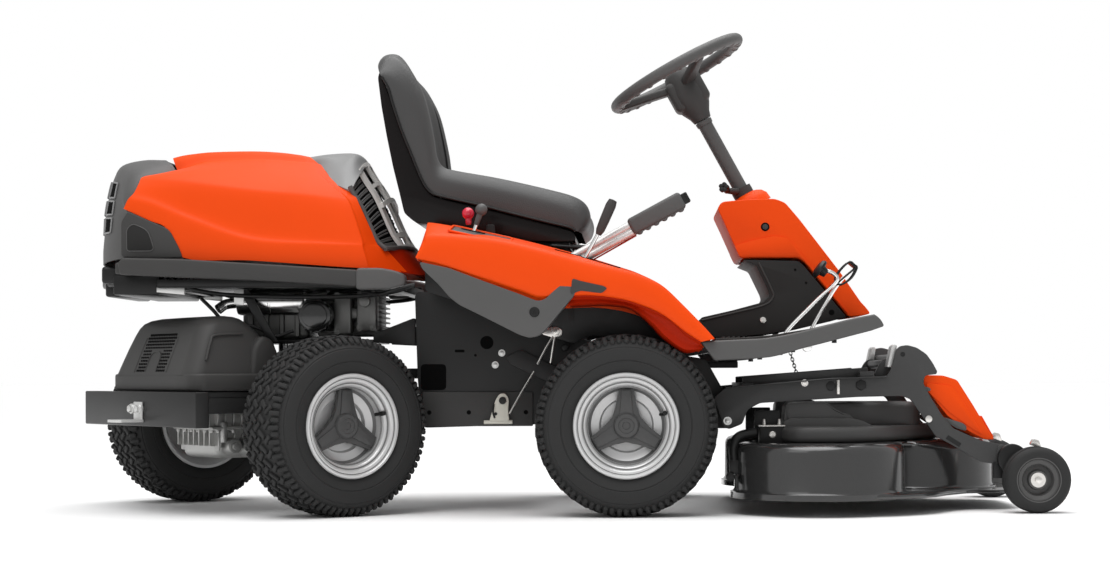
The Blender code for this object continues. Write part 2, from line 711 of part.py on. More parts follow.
# ---------------------------------------------------------------- hand controls
def ball_lever(name, foot, knob, radius, finish):
    axis = empty(f"{name}_axis", foot)
    stem = rod(foot, knob, 0.0035, steps=10)
    bm = bmesh.new()
    bmesh.ops.create_uvsphere(bm, u_segments=14, v_segments=8, radius=radius)
    bmesh.ops.transform(bm, matrix=Matrix.Translation(knob), verts=bm.verts)
    part(name, joined(stem, from_bmesh(bm)), finish, axis)


LIFT_PIVOT = Vector((-0.010, -0.263, 0.5285))
LIFT_DIRECTION = Vector((math.cos(math.radians(28.4)), 0, math.sin(math.radians(28.4))))
GRIP_START = 0.232  # along the lift lever from its pivot
GRIP_END = 0.3620


def hand_controls():
    ball_lever("choke_lever", Vector((-0.171, -0.300, 0.580)), Vector((-0.172, -0.300, 0.670)), 0.0135, RED)
    ball_lever("throttle_lever", Vector((-0.170, -0.330, 0.590)), Vector((-0.140, -0.330, 0.676)), 0.0135, TRIM_GREY)
    key_axis = empty("ignition_key_axis", (-0.122, -0.300, 0.610))
    key = joined(
        rod((-0.122, -0.300, 0.605), (-0.122, -0.300, 0.622), 0.012, steps=12),
        block((-0.131, -0.3025, 0.620), (-0.113, -0.2975, 0.645)),
    )
    part("ignition_key", key, SOOT, key_axis)

    lift_axis = empty("lift_lever_axis", LIFT_PIVOT)
    tube = rod(LIFT_PIVOT, LIFT_PIVOT + LIFT_DIRECTION * (GRIP_START + 0.02), 0.010, steps=14)
    grip = rod(LIFT_PIVOT + LIFT_DIRECTION * GRIP_START, LIFT_PIVOT + LIFT_DIRECTION * GRIP_END, 0.0205, steps=14)
    boss = rod(LIFT_PIVOT - Vector((0, 0.014, 0)), LIFT_PIVOT + Vector((0, 0.014, 0)), 0.018, steps=14)
    end = LIFT_PIVOT + LIFT_DIRECTION * GRIP_END
    socket = rod(end - LIFT_DIRECTION * 0.011, end + LIFT_DIRECTION * 0.020, 0.0138, steps=14)
    part("lift_lever", cut(joined(tube, grip, boss), socket), SILVER, lift_axis)
    button_axis = empty("lift_button_axis", LIFT_DIRECTION * GRIP_END, lift_axis)
    button = rod(end - LIFT_DIRECTION * 0.0040, end + LIFT_DIRECTION * 0.010, 0.0130, steps=14)
    part("lift_button", button, SOOT, button_axis)

    height_pivot = Vector((0.075, -0.307, 0.545))
    height_axis = empty("height_lever_axis", height_pivot)
    height_grip_low = Vector((0.120, -0.307, 0.626))
    height_grip_high = Vector((0.152, -0.307, 0.700))
    lever = joined(
        rod(height_pivot, height_grip_low, 0.004, steps=10),
        rod(height_grip_low - Vector((0.003, 0, 0.006)), height_grip_high, 0.009, 0.012, steps=12),
    )
    part("height_lever", lever, SOOT, height_axis)


# ---------------------------------------------------------------- pedals
PEDAL_PIVOT = Vector((0.536, -0.262, 0.368))


def pedal(name, pivot, knee, pad_centre, pad_along, finish):
    """A bent rod from its pivot to a foot pad; the pad's length lies along pad_along."""
    axis = empty(f"{name}_axis", pivot)
    pad_along = pad_along.normalized()
    half = 0.024
    hub = rod(pivot - Vector((0, 0.016, 0)), pivot + Vector((0, 0.016, 0)), 0.011, steps=12)
    arm = rod(pivot, knee, 0.0045, steps=8)
    reach = rod(knee - (knee - pivot).normalized() * 0.002, pad_centre, 0.0045, steps=8)
    pad = rod(pad_centre - pad_along * half, pad_centre + pad_along * half, 0.011, steps=10)
    part(name, joined(hub, arm, reach, pad), finish, axis)


def pedals():
    right = Vector((0, 1, 0))
    pedal("forward_pedal", PEDAL_PIVOT, Vector((0.652, -0.262, 0.518)), Vector((0.618, -0.262, 0.545)), right, SOOT)
    reverse_pivot = PEDAL_PIVOT + Vector((0.052, 0.040, 0.004))
    pedal("reverse_pedal", reverse_pivot, Vector((0.648, -0.222, 0.500)), Vector((0.688, -0.222, 0.552)), right, SOOT)
    brake_pivot = Vector((PEDAL_PIVOT.x, 0.262, PEDAL_PIVOT.z))
    pedal("brake_pedal", brake_pivot, Vector((0.640, 0.262, 0.505)), Vector((0.622, 0.262, 0.545)), right, SOOT)


# ---------------------------------------------------------------- rear carriage
BUMPER_X = -0.370
PUMP_X = -0.165  # the hydrostatic pump's pulley, behind the pivot
CARRIAGE_Z = (0.262, 0.270)


def rear_carriage():
    pivot = empty("rear_pivot", (PIVOT_X, 0, 0), turn=REST_STEER)
    for side in SIDES:
        road_wheel(f"rear_wheel_{side}", REAR_AXLE_X, side, parent=pivot)
    rear_structure(pivot)
    rear_body(pivot)
    transaxle(pivot)


def rear_structure(pivot):
    deck = block((-0.338, -0.150, CARRIAGE_Z[0]), (0.030, 0.150, CARRIAGE_Z[1]))
    webs = [
        block((-0.336, y - 0.003, 0.230), (-0.015, y + 0.003, CARRIAGE_Z[1] - 0.001))
        for y in (-0.150, 0.150)
    ]
    bearing = rod((0, 0, 0.264), (0, 0, NECK_Z[0] - GAP), 0.072, steps=20)
    head = block((-0.338, -0.200, 0.205), (-0.330, 0.200, CARRIAGE_Z[1]))
    shaft_hole = rod((PUMP_X, 0, 0.20), (PUMP_X, 0, 0.30), 0.014, steps=16)
    part("rear_frame", cut(joined(deck, *webs, bearing, head), shaft_hole), SOOT, pivot, own_frame=True)
    bumper = block((BUMPER_X, -0.295, 0.197), (-0.338 - GAP, 0.295, 0.275))
    part("rear_bumper", rounded(bumper, 0.003), SOOT, pivot, own_frame=True)
    leg = block((BUMPER_X - GAP - 0.005, -0.032, 0.210), (BUMPER_X - GAP, 0.032, 0.252))
    tongue = block((BUMPER_X - GAP - 0.062, -0.032, 0.206), (BUMPER_X - GAP, 0.032, 0.212))
    hole = rod((BUMPER_X - 0.040, 0, 0.19), (BUMPER_X - 0.040, 0, 0.23), 0.0095, steps=16)
    part("tow_plate", cut(joined(leg, tongue), hole), ZINC, pivot, own_frame=True)


def cover_section(x_low, x_high, low, high, wide_low, wide_high):
    return [
        (x_low, -wide_low, low),
        (x_high * 0.5 + x_low * 0.5, -(wide_low + wide_high) / 2, (low + high) / 2),
        (x_high, -wide_high, high - 0.020),
        (x_high, -wide_high + 0.025, high),
        (x_high, 0, high + 0.004),
    ]


def rear_body(pivot):
    base_z = CARRIAGE_Z[1] + 0.006
    sections = [
        cover_section(-0.345, -0.345, base_z, base_z + 0.035, 0.215, 0.212),
        cover_section(-0.338, -0.338, base_z, base_z + 0.045, 0.217, 0.208),
        cover_section(-0.328, -0.318, base_z, 0.385, 0.218, 0.200),
        cover_section(-0.315, -0.296, base_z, 0.430, 0.219, 0.185),
        cover_section(-0.290, -0.270, base_z, 0.444, 0.220, 0.186),
        cover_section(-0.195, -0.198, base_z, 0.446, 0.220, 0.188),
        cover_section(-0.120, -0.150, base_z, 0.392, 0.220, 0.192),
        cover_section(-0.080, -0.095, base_z, 0.318, 0.220, 0.196),
    ]
    shell = skin([both_sides(s) for s in sections], SKIN)
    back = plate([(-0.345, base_z), (-0.345, base_z + 0.034), (-0.341, base_z + 0.034), (-0.341, base_z)], -0.209, 0.209)
    belt_mouth = block((-0.230, -0.075, 0.250), (-0.050, 0.075, 0.372))
    part("rear_cover", cut(joined(shell, back), belt_mouth), CHARCOAL, pivot, own_frame=True)


def transaxle(pivot):
    case = rounded(block((-0.235, -0.105, 0.112), (-0.020, 0.090, 0.240)), 0.014)
    tubes = rod((REAR_AXLE_X, -0.225, AXLE_Z), (REAR_AXLE_X, 0.225, AXLE_Z), 0.026, steps=14)
    shafts = rod((REAR_AXLE_X, -0.405, AXLE_Z), (REAR_AXLE_X, 0.405, AXLE_Z), AXLE_RADIUS, steps=12)
    feet = block((-0.200, -0.140, 0.232), (-0.040, 0.140, CARRIAGE_Z[0] - GAP))
    pump_shaft = rod((PUMP_X, 0, 0.230), (PUMP_X, 0, 0.350), 0.010, steps=14)
    pump_pulley = rod((PUMP_X, 0, 0.342), (PUMP_X, 0, 0.358), 0.0390, steps=20)
    shape = joined(case, tubes, shafts, feet, pump_shaft, pump_pulley)
    part("transaxle", shape, CASTING, pivot, own_frame=True)
    loop = belt([(0, 0, 0.0505), (PUMP_X, 0.0, 0.040)], 0.345, 0.355)
    part("drive_belt", loop, RUBBER, pivot, own_frame=True)


def belt(wheels, z_low, z_high):
    """A belt round pulleys, given as (x, y, inner radius): the hull of their circles, less the same hull inside."""
    thickness = 0.008
    outer = hull_slab(wheels, thickness, z_low, z_high)
    inner = hull_slab(wheels, 0.0, z_low - 0.01, z_high + 0.01)
    return cut(outer, inner)


def hull_slab(wheels, grow, z_low, z_high):
    bm = bmesh.new()
    for x, y, radius in wheels:
        for z in (z_low, z_high):
            for i in range(20):
                angle = i * math.tau / 20
                reach = (radius + grow) / math.cos(math.pi / 20)
                bm.verts.new((x + reach * math.cos(angle), y + reach * math.sin(angle), z))
    hull = bmesh.ops.convex_hull(bm, input=bm.verts)
    loose = [v for v in hull["geom_interior"] if isinstance(v, bmesh.types.BMVert)]
    bmesh.ops.delete(bm, geom=loose, context="VERTS")
    return from_bmesh(bm)


# ---------------------------------------------------------------- cutting deck
def deck_frame():
    hinge = empty("deck_hinge", DECK_PIVOT)
    arm = [
        (0.392, 0.214), (0.380, 0.257), (0.404, 0.281), (0.503, 0.2895), (0.639, 0.301), (0.776, 0.305),
        (0.790, 0.363), (0.806, 0.374), (0.828, 0.374), (0.856, 0.360), (0.882, 0.318), (0.852, 0.306),
        (0.852, 0.289), (0.890, 0.217), (0.915, 0.187), (0.975, 0.158), (1.046, 0.147), (1.046, 0.112),
        (1.012, 0.106), (0.977, 0.111), (0.920, 0.145), (0.871, 0.170), (0.841, 0.217), (0.809, 0.260),
        (0.700, 0.258), (0.480, 0.245), (0.454, 0.232), (0.440, 0.198), (0.410, 0.186),
    ]
    arms = [
        plate(arm, *sorted((sign * (DECK_ARM_Y - 0.003), sign * (DECK_ARM_Y + 0.003))))
        for sign in SIDES.values()
    ]
    handle_bar = rod((0.802, -0.2435, 0.344), (0.802, 0.2435, 0.344), 0.012, steps=14)
    beams = [
        plate([(0.445, 0.284), (0.730, 0.304), (0.730, 0.325), (0.445, 0.304)], y - 0.010, y + 0.010)
        for y in (-0.180, 0.180)
    ]
    cross = block((0.438, -0.2435, 0.270), (0.466, 0.2435, 0.290))
    front_cross = block((0.706, -0.2435, 0.298), (0.738, 0.2435, 0.316))
    stubs = [
        rod((DECK_WHEEL_X, sign * (DECK_ARM_Y + 0.002), DECK_WHEEL_RADIUS), (DECK_WHEEL_X, sign * 0.342, DECK_WHEEL_RADIUS), 0.008, steps=12)
        for sign in SIDES.values()
    ]
    wheel_plates = [
        plate(
            [(1.015, 0.110), (1.018, 0.144), (1.052, 0.145), (1.112, 0.090), (1.114, 0.060), (1.080, 0.056)],
            *sorted((sign * (DECK_ARM_Y - 0.0015), sign * (DECK_ARM_Y + 0.0065))),
        )
        for sign in SIDES.values()
    ]
    shape = joined(arms[0], arms[1], handle_bar, *beams, cross, front_cross, *wheel_plates, *stubs)
    part("deck_frame", shape, CHARCOAL, hinge)
    return hinge


def deck_wheels(hinge):
    radius = DECK_WHEEL_RADIUS / math.cos(math.pi / DECK_WHEEL_STEPS)
    profile = [
        (0.0085, 0.030), (0.026, 0.030), (0.030, 0.018), (0.050, 0.018), (0.060, 0.036), (radius - 0.004, 0.030),
        (radius, 0.014), (radius, -0.014), (radius - 0.004, -0.030), (0.060, -0.036), (0.0085, -0.036),
    ]
    for side, sign in SIDES.items():
        centre = Vector((DECK_WHEEL_X, sign * DECK_WHEEL_Y, DECK_WHEEL_RADIUS))
        turn = Matrix.Rotation(-sign * math.pi / 2, 4, "X") @ Matrix.Rotation(math.pi / DECK_WHEEL_STEPS, 4, "Z")
        axis = empty(f"deck_wheel_{side}_axis", centre - DECK_PIVOT, hinge)
        shape = turned(profile, DECK_WHEEL_STEPS, Matrix.Translation(centre) @ turn, closed=True)
        part(f"deck_wheel_{side}", shape, RUBBER, axis)


def deck_housing(hinge):
    slide = empty("deck_slide", Vector((0.70, 0, 0.157)) - DECK_PIVOT, hinge)
    outer = joined(*[rod((x, y, 0.048), (x, y, BOWL_TOP_Z), BOWL_RADIUS, steps=28) for x, y in SPINDLES.values()])
    flange = joined(*[rod((x, y, 0.035), (x, y, 0.050), BOWL_RADIUS + 0.009, steps=28) for x, y in SPINDLES.values()])
    bridge = block((0.640, -0.250, 0.048), (0.830, 0.250, BOWL_TOP_Z))
    rear_bridge = block((0.480, -0.250, 0.110), (0.640, 0.250, BOWL_TOP_Z))
    hollow = joined(
        *[rod((x, y, 0.000), (x, y, BOWL_TOP_Z - SKIN), BOWL_RADIUS - 0.003, steps=28) for x, y in SPINDLES.values()]
    )
    bridge_hollow = block((0.600, -0.247, 0.000), (0.827, 0.247, BOWL_TOP_Z - SKIN))
    collars = [rod((x, y, BOWL_TOP_Z - 0.002), (x, y, PULLEY_Z - 0.004), 0.030, steps=16) for x, y in SPINDLES.values()]
    bores = [rod((x, y, 0.1), (x, y, 0.2), 0.0112, steps=16) for x, y in SPINDLES.values()]
    shell = joined(outer, flange, bridge, rear_bridge)
    shell = cut(shell, hollow, bridge_hollow)
    shell = cut(joined(shell, *collars), *bores)
    part("deck_shell", shell, SOOT, slide)
    return slide


def blades(slide):
    for side, (x, y) in SPINDLES.items():
        axis = empty(f"blade_{side}_axis", Vector((x, y, 0.06)) - Vector((0.70, 0, 0.157)), slide)
        bar = block((x - 0.022, y - BLADE_LENGTH / 2, 0.060), (x + 0.022, y + BLADE_LENGTH / 2, 0.064))
        shaft = rod((x, y, 0.056), (x, y, PULLEY_Z + 0.014), 0.0105, steps=16)
        pulley = rod((x, y, PULLEY_Z), (x, y, PULLEY_Z + 0.012), 0.040, steps=20)
        part(f"blade_{side}", joined(bar, shaft, pulley), CASTING, axis)
    wheels = [(x, y, 0.0405) for x, y in SPINDLES.values()]
    part("deck_belt", belt(wheels, PULLEY_Z + 0.002, PULLEY_Z + 0.010), RUBBER, slide)


def belt_cover(slide):
    wheels = [(x, y, 0.055) for x, y in SPINDLES.values()]
    low = BOWL_TOP_Z + GAP
    tier = hull_slab(wheels, 0.006, low, 0.196)
    upper = rounded(block((0.545, -0.220, 0.190), (0.800, 0.220, 0.244)), 0.014, 2)
    room = hull_slab(wheels, 0.002, low - 0.01, 0.191)
    upper_room = block((0.553, -0.212, 0.185), (0.792, 0.212, 0.237))
    part("belt_cover", cut(joined(tier, upper), room, upper_room), CHARCOAL, slide)


def front_cover(slide):
    outline = [
        (0.855, 0.250), (0.852, 0.305), (0.900, 0.306), (0.930, 0.296), (0.968, 0.238), (1.002, 0.182), (1.015, 0.162),
        (0.990, 0.1600), (0.960, 0.1700), (0.905, 0.214),
    ]
    shell = rounded(plate(outline, -0.232, 0.232), 0.010, 2)
    inside = plate(
        [(0.800, 0.240), (0.840, 0.301), (0.899, 0.302), (0.927, 0.293), (0.964, 0.236), (0.998, 0.180), (1.000, 0.140),
         (0.950, 0.140)],
        -0.228,
        0.228,
    )
    part("front_cover", cut(shell, inside), ORANGE, slide)


def cutting_deck():
    hinge = deck_frame()
    deck_wheels(hinge)
    slide = deck_housing(hinge)
    blades(slide)
    belt_cover(slide)
    front_cover(slide)


# ---------------------------------------------------------------- the whole machine
def build():
    main_frame()
    front_wheels()
    engine()
    engine_tray()
    tank_and_battery()
    hood()
    hood_rail()
    seat()
    fenders()
    side_panels()
    console()
    floor_and_trim()
    steering()
    hand_controls()
    pedals()
    rear_carriage()
    cutting_deck()
    centre_on_origin()


def centre_on_origin():
    """The shapes above are drawn from a datum a little behind the middle of the machine's length."""
    for obj in PARTS.objects:
        if obj.parent is None:
            obj.location.x -= DATUM_BEHIND_MIDDLE


build()
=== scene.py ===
"""The riding lawn mower's looks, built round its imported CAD.

Lengths are in metres. Shapes are drawn in the same datum as the CAD's source: X from a line 29 mm behind
the middle of the machine, Y from its midline, Z from the ground. Shape.show() moves them into the row
frame.
Shapes of the rear carriage are drawn straight, from the steering pivot, and REAR turns them with it.
"""

import math

import bmesh
import bpy
from mathutils import Matrix, Vector


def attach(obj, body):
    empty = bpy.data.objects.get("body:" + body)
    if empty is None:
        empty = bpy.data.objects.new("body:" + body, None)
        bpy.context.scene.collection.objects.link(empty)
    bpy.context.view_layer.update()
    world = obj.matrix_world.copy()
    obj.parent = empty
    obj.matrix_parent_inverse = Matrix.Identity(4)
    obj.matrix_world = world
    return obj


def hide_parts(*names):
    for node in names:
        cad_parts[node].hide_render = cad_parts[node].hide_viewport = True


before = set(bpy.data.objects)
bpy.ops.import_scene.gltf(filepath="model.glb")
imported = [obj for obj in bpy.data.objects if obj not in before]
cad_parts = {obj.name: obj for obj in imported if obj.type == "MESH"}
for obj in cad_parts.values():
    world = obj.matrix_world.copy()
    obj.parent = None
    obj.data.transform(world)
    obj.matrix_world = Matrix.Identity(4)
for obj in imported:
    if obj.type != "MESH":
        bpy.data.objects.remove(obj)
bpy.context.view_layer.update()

# ------------------------------------------------------------------ placing
PIVOT_X = -0.635  # where the rear carriage swings
REST_STEER = math.radians(38)
DATUM = Matrix.Translation((-0.029, 0, 0))
REAR = DATUM @ Matrix.Translation((PIVOT_X, 0, 0)) @ Matrix.Rotation(REST_STEER, 4, "Z")
SIDES = {"right": -1, "left": 1}  # sign of Y


# ------------------------------------------------------------------ materials
def finish(name, colour, roughness, metallic=0.0, grain=0.0, grain_scale=900.0, mottle=0.06, coat=0.0,
           cells=False, specular=0.5):
    """A procedural material: mottled colour and roughness at hand scale, and a fine bump for the grain."""
    mat = bpy.data.materials.new(name)
    mat.use_nodes = True
    nodes = mat.node_tree.nodes
    link = mat.node_tree.links.new
    shader = nodes["Principled BSDF"]
    shader.inputs["Metallic"].default_value = metallic
    shader.inputs["Specular IOR Level"].default_value = specular
    shader.inputs["Coat Weight"].default_value = coat
    shader.inputs["Coat Roughness"].default_value = 0.12
    where = nodes.new("ShaderNodeTexCoord")

    blotch = nodes.new("ShaderNodeTexNoise")
    blotch.inputs["Scale"].default_value = 9.0
    blotch.inputs["Detail"].default_value = 5.0
    link(where.outputs["Object"], blotch.inputs["Vector"])
    shade = nodes.new("ShaderNodeMix")
    shade.data_type = "RGBA"
    shade.inputs["A"].default_value = (*[c * (1 - mottle) for c in colour], 1)
    shade.inputs["B"].default_value = (*[min(c * (1 + mottle), 1) for c in colour], 1)
    link(blotch.outputs["Fac"], shade.inputs["Factor"])
    link(shade.outputs["Result"], shader.inputs["Base Color"])

    rough = nodes.new("ShaderNodeMapRange")
    rough.inputs["To Min"].default_value = max(roughness - 0.06, 0.02)
    rough.inputs["To Max"].default_value = min(roughness + 0.06, 1.0)
    link(blotch.outputs["Fac"], rough.inputs["Value"])
    link(rough.outputs["Result"], shader.inputs["Roughness"])

    if grain:
        fine = nodes.new("ShaderNodeTexVoronoi" if cells else "ShaderNodeTexNoise")
        fine.inputs["Scale"].default_value = grain_scale
        link(where.outputs["Object"], fine.inputs["Vector"])
        bump = nodes.new("ShaderNodeBump")
        bump.inputs["Strength"].default_value = grain
        bump.inputs["Distance"].default_value = 0.0006
        link(fine.outputs["Distance" if cells else "Fac"], bump.inputs["Height"])
        link(bump.outputs["Normal"], shader.inputs["Normal"])
    return mat


ORANGE = (0.8, 0.063, 0.0005)
FINISHES = {
    "orange": (finish("orange_plastic", ORANGE, 0.5, grain=0.1, mottle=0.03, specular=0.15),
               "orange_panel"),
    # painted shade: a darker copy of the orange for surfaces that face down, out of the light
    "shade": (finish("orange_painted_shade", (0.36, 0.014, 0.0005), 0.5, grain=0.1, mottle=0.03, specular=0.1),
              "orange_panel"),
    "charcoal": (finish("charcoal_plastic", (0.047, 0.046, 0.045), 0.5, grain=0.35, specular=0.25),
                 "charcoal_plastic"),
    "tower": (finish("tower_plastic", (0.027, 0.0265, 0.026), 0.52, grain=0.35, specular=0.08),
              "charcoal_plastic"),
    "trim": (finish("trim_plastic", (0.085, 0.084, 0.083), 0.45, grain=0.3, specular=0.3), "trim_plastic"),
    "cap": (finish("hood_cap", (0.225, 0.225, 0.225), 0.42, grain=0.25), "trim_plastic"),
    "lattice": (finish("hood_lattice", (0.8, 0.78, 0.75), 0.45, grain=0.2), "trim_plastic"),
    "black": (finish("black_plastic", (0.01, 0.01, 0.01), 0.38, grain=0.3, specular=0.3), "black_plastic"),
    "shell": (finish("seat_shell", (0.004, 0.0025, 0.0025), 0.26, grain=0.1, specular=0.22),
              "black_plastic"),
    # painted shade: near-black that stands in for the shade inside holes, slots, wells and behind the
    # grille
    "painted_shade": (finish("hole_painted_shade", (0.003, 0.003, 0.003), 0.8, grain=0.2, specular=0.05), "black_plastic"),
    "red": (finish("red_plastic", (0.6, 0.014, 0.045), 0.28, grain=0.05, coat=0.3), "red_plastic"),
    "paint": (finish("black_paint", (0.023, 0.023, 0.023), 0.42, grain=0.12, specular=0.22), "black_paint"),
    "plate": (finish("deck_arm_paint", (0.052, 0.052, 0.052), 0.42, grain=0.2, specular=0.3),
              "black_paint"),
    "bowl": (finish("deck_bowl_paint", (0.026, 0.026, 0.026), 0.2, grain=0.05, coat=0.8), "black_paint"),
    "filter": (finish("oil_filter_paint", (0.006, 0.006, 0.006), 0.18, grain=0.05, coat=0.6),
               "black_paint"),
    "silver": (finish("wheel_paint", (0.6, 0.6, 0.6), 0.3, 0.3, grain=0.06, coat=0.2), "silver_paint"),
    # painted shade: a darker grey for the rim's grooves
    "groove": (finish("wheel_groove_shade", (0.15, 0.15, 0.15), 0.5, 0.2, grain=0.1), "silver_paint"),
    "hubcap": (finish("hub_cap", (0.062, 0.062, 0.062), 0.42, grain=0.25, specular=0.35),
               "charcoal_plastic"),
    "casting": (finish("casting", (0.42, 0.42, 0.41), 0.42, 0.8, grain=0.5, grain_scale=400), "casting"),
    "engine": (finish("engine_casting", (0.17, 0.17, 0.165), 0.42, 0.7, grain=0.5, grain_scale=400),
               "casting"),
    "steel": (finish("steel", (0.58, 0.58, 0.57), 0.3, 0.9, grain=0.1), "steel"),
    "zinc": (finish("zinc", (0.74, 0.72, 0.69), 0.28, 0.9, grain=0.1), "zinc"),
    "cream": (finish("cream_paint", (0.7, 0.68, 0.6), 0.45, grain=0.1), "zinc"),
    "brushed": (finish("brushed_tube", (0.66, 0.66, 0.65), 0.4, 0.6, grain=0.05, grain_scale=300),
                "chrome"),
    "chrome": (finish("chrome", (0.86, 0.86, 0.85), 0.22, 1.0, grain=0.03), "chrome"),
    "rubber": (finish("tyre_rubber", (0.028, 0.028, 0.028), 0.7, grain=0.45, grain_scale=500, specular=0.2),
               "tyre"),
    "belt": (finish("belt_rubber", (0.02, 0.02, 0.02), 0.7, grain=0.4), "belt"),
    "vinyl": (finish("seat_vinyl", (0.052, 0.052, 0.052), 0.44, grain=0.5, grain_scale=420, cells=True,
                     specular=0.32), "vinyl"),
}


# ------------------------------------------------------------------ lines
def refine(points, per_span):
    """A smooth line through the points, each span cut into per_span pieces."""
    points = [Vector(p) for p in points]
    ends = [points[0] * 2 - points[1], *points, points[-1] * 2 - points[-2]]
    line = []
    for i in range(len(points) - 1):
        a, b, c, d = ends[i : i + 4]
        for step in range(per_span):
            t = step / per_span
            first = (c - a) * t
            second = (2 * a - 5 * b + 4 * c - d) * t * t
            third = (3 * b - a - 3 * c + d) * t**3
            line.append(0.5 * (2 * b + first + second + third))
    line.append(points[-1])
    return line


def grid(rows, per_point, per_row):
    """A dense grid of points through rows of points."""
    fine = [refine(row, per_point) for row in rows]
    columns = [refine([row[i] for row in fine], per_row) for i in range(len(fine[0]))]
    return [[column[i] for column in columns] for i in range(len(columns[0]))]


def filleted(points, radius, steps=4):
    """A closed outline whose corners are rounded by up to the radius."""
    points = [Vector((*p[:2], 0)) for p in points]
    line = []
    for i, corner in enumerate(points):
        before = points[i - 1] - corner
        after = points[(i + 1) % len(points)] - corner
        reach = min(radius, before.length * 0.45, after.length * 0.45)
        start = corner + before.normalized() * reach
        end = corner + after.normalized() * reach
        for step in range(steps + 1):
            t = step / steps
            bend = start * (1 - t) ** 2 + corner * 2 * t * (1 - t) + end * t * t
            line.append((bend.x, bend.y))
    return line


def mirror_rows(rows):
    """Rows of the right half up to the midline, completed with the left half."""
    left = [[(x, -y, z) for x, y, z in row] for row in reversed(rows[:-1])]
    return rows + left


def mirror_columns(rows):
    """Rows that end on the midline, completed with their mirror images."""
    return [row + [(x, -y, z) for x, y, z in reversed(row[:-1])] for row in rows]


def circle(radius, count, x=0.0, y=0.0):
    """Points round a circle, evenly spaced."""
    angles = [i * math.tau / count for i in range(count)]
    return [(x + radius * math.cos(angle), y + radius * math.sin(angle)) for angle in angles]


